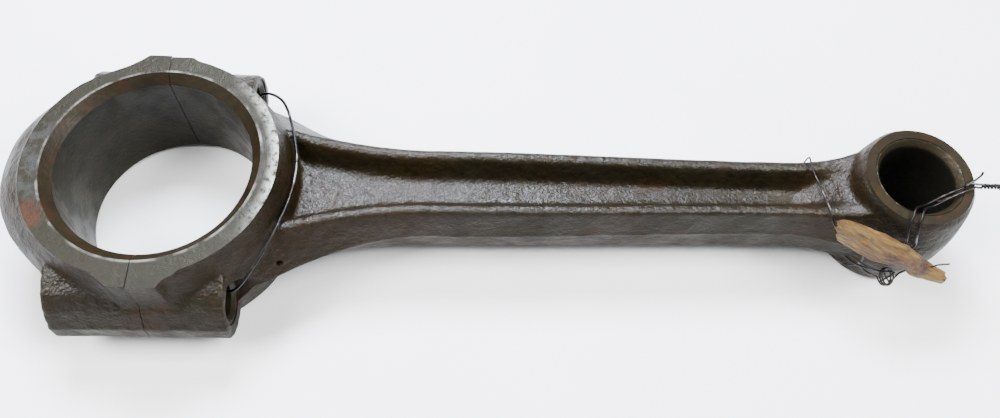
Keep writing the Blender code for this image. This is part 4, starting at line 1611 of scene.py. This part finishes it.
    def build(
        self, datum: Datum, timber: bpy.types.Material, iron: bpy.types.Material
    ) -> list[bpy.types.Object]:
        """Split the splinter, bend its wires, dress them and set them on their body."""
        wood = loft("wood_splinter", self.shell())
        dressed(wood, timber, datum, self.sharp)
        fitted(wood, "tag", "wood_tag")
        coil = Wire("tag_coil", self.wire_radius, "tag", "tag_wire", kink=0.05, seed=13)
        pieces = [wood, coil.build(datum, self.coil(), iron)]
        for number, route in enumerate(self.stray_ends, start=1):
            stray = Wire(f"stray_end_{number}", self.wire_radius, "tag", kink=0.12, seed=20 + number)
            points = smooth_route([self.moved(point) for point in route], 0.4)
            pieces.append(stray.build(datum, points, iron))
        return pieces


# ---------------------------------------------------------------- table, light and camera


@dataclass(frozen=True)
class Lamp:
    """One soft rectangular lamp, in millimetres from the datum."""

    name: str
    place: tuple[float, float, float]
    target: tuple[float, float, float]
    width: float
    depth: float
    power: float
    colour: str = "#ffffff"

    def build(self, datum: Datum) -> bpy.types.Object:
        """Hang the lamp and aim it."""
        light = bpy.data.lights.new(self.name, "AREA")
        light.shape = "RECTANGLE"
        light.size = self.width * MM
        light.size_y = self.depth * MM
        light.energy = self.power
        light.color = linear(self.colour)[:3]
        lamp = bpy.data.objects.new(self.name, light)
        bpy.context.scene.collection.objects.link(lamp)
        lamp.location = datum.world(self.place)
        aim = Vector(self.target) - Vector(self.place)
        lamp.rotation_euler = aim.to_track_quat("-Z", "Y").to_euler()
        return lamp


@dataclass
class Studio:
    """A pale table, soft lamps and the camera."""

    eye: tuple[float, float, float] = (101.3, -141.6, 268.0)
    target: tuple[float, float, float] = (112.3, -3.7, 0.0)
    roll: float = 5.06
    lens: float = 31.61
    sensor: float = 36.0
    table: float = 3000.0
    sky: float = 0.35
    lamps: tuple[Lamp, ...] = (
        Lamp("back_softbox", (35.0, 330.0, 560.0), (60.0, 0.0, 0.0), 260.0, 200.0, 18.0, "#e9efff"),
        Lamp("overhead_left", (-900.0, -150.0, 1300.0), (-60.0, 0.0, 0.0), 700.0, 700.0, 60.0),
        Lamp("overhead_right", (1100.0, -150.0, 1300.0), (200.0, 0.0, 0.0), 700.0, 700.0, 60.0),
    )

    def build(self, datum: Datum) -> None:
        """Lay the table, hang the lamps and stand the camera."""
        shape = bmesh.new()
        bmesh.ops.create_grid(shape, x_segments=8, y_segments=8, size=self.table * MM / 2.0)
        table = as_object("table", shape)
        table.data.materials.append(PaleTable().material(datum))
        for lamp in self.lamps:
            lamp.build(datum)
        world = bpy.data.worlds.new("soft_sky")
        world.use_nodes = True
        backdrop = world.node_tree.nodes["Background"]
        backdrop.inputs["Color"].default_value = linear("#f4f7fb")
        backdrop.inputs["Strength"].default_value = self.sky
        bpy.context.scene.world = world
        bpy.context.scene.camera = self.camera(datum)

    def camera(self, datum: Datum) -> bpy.types.Object:
        """Stand the camera, aim it and roll it."""
        lens = bpy.data.cameras.new("camera")
        lens.sensor_width = self.sensor
        lens.lens = self.lens
        lens.clip_start = 0.01
        camera = bpy.data.objects.new("camera", lens)
        bpy.context.scene.collection.objects.link(camera)
        aim = Vector(self.target) - Vector(self.eye)
        turn = aim.to_track_quat("-Z", "Y").to_matrix().to_4x4()
        roll = Matrix.Rotation(math.radians(self.roll), 4, "Z")
        camera.matrix_world = Matrix.Translation(datum.world(self.eye)) @ turn @ roll
        return camera


def main() -> None:
    """Build every sub-assembly in order round the frame, and log the body of each piece."""
    logging.basicConfig(level=logging.INFO, format="%(name)s: %(message)s")
    noise.seed_set(NOISE_SEED)
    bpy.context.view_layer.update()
    big, small, shank, forge = BigEnd(), SmallEnd(), Shank(), Forge()
    datum = Datum.from_frame(small.centre)
    Studio().build(datum)

    forged = ForgedSteel().material(datum)
    face = MachinedFace().material(datum, big.bore + big.chamfer_width, big.face)
    chamfer = BoredSteel(
        name="Chamfered steel, oxidised", steel="#1c170d", yellow="#221c0e", dark="#110d07",
        rust="#2c190f", rust_strength=0.5, roughness=(0.5, 0.4),
    ).material(datum)
    bored = BoredSteel().material(datum)
    finishes = (forged, face, chamfer, bored)
    RodForging(big, shank, small, forge).build(datum, finishes)
    BearingCap(big, forge).build(datum, finishes)

    bronze = PhosphorBronze().material(datum, small.centre, Bush.bore, small.half)
    Bush().build(datum, bronze)
    for side in Side:
        Dowel(side).build(datum, chamfer)

    iron = AnnealedWire().material(datum)
    CapTie().build(datum, iron)
    SmallEndWires().build(datum, iron)
    splinter = Splinter()
    stains = ((-10.0, -4.0, 12.0), (-6.0, -5.0, 9.0), (1.0, -5.4, 8.0))
    timber = SplitSoftwood().material(
        datum, splinter.grain(), [tuple(splinter.moved(stain)) for stain in stains],
        tuple(splinter.moved((8.0, -6.0, 5.0))),
    )
    splinter.build(datum, timber, iron)


if __name__ == "__main__":
    main()
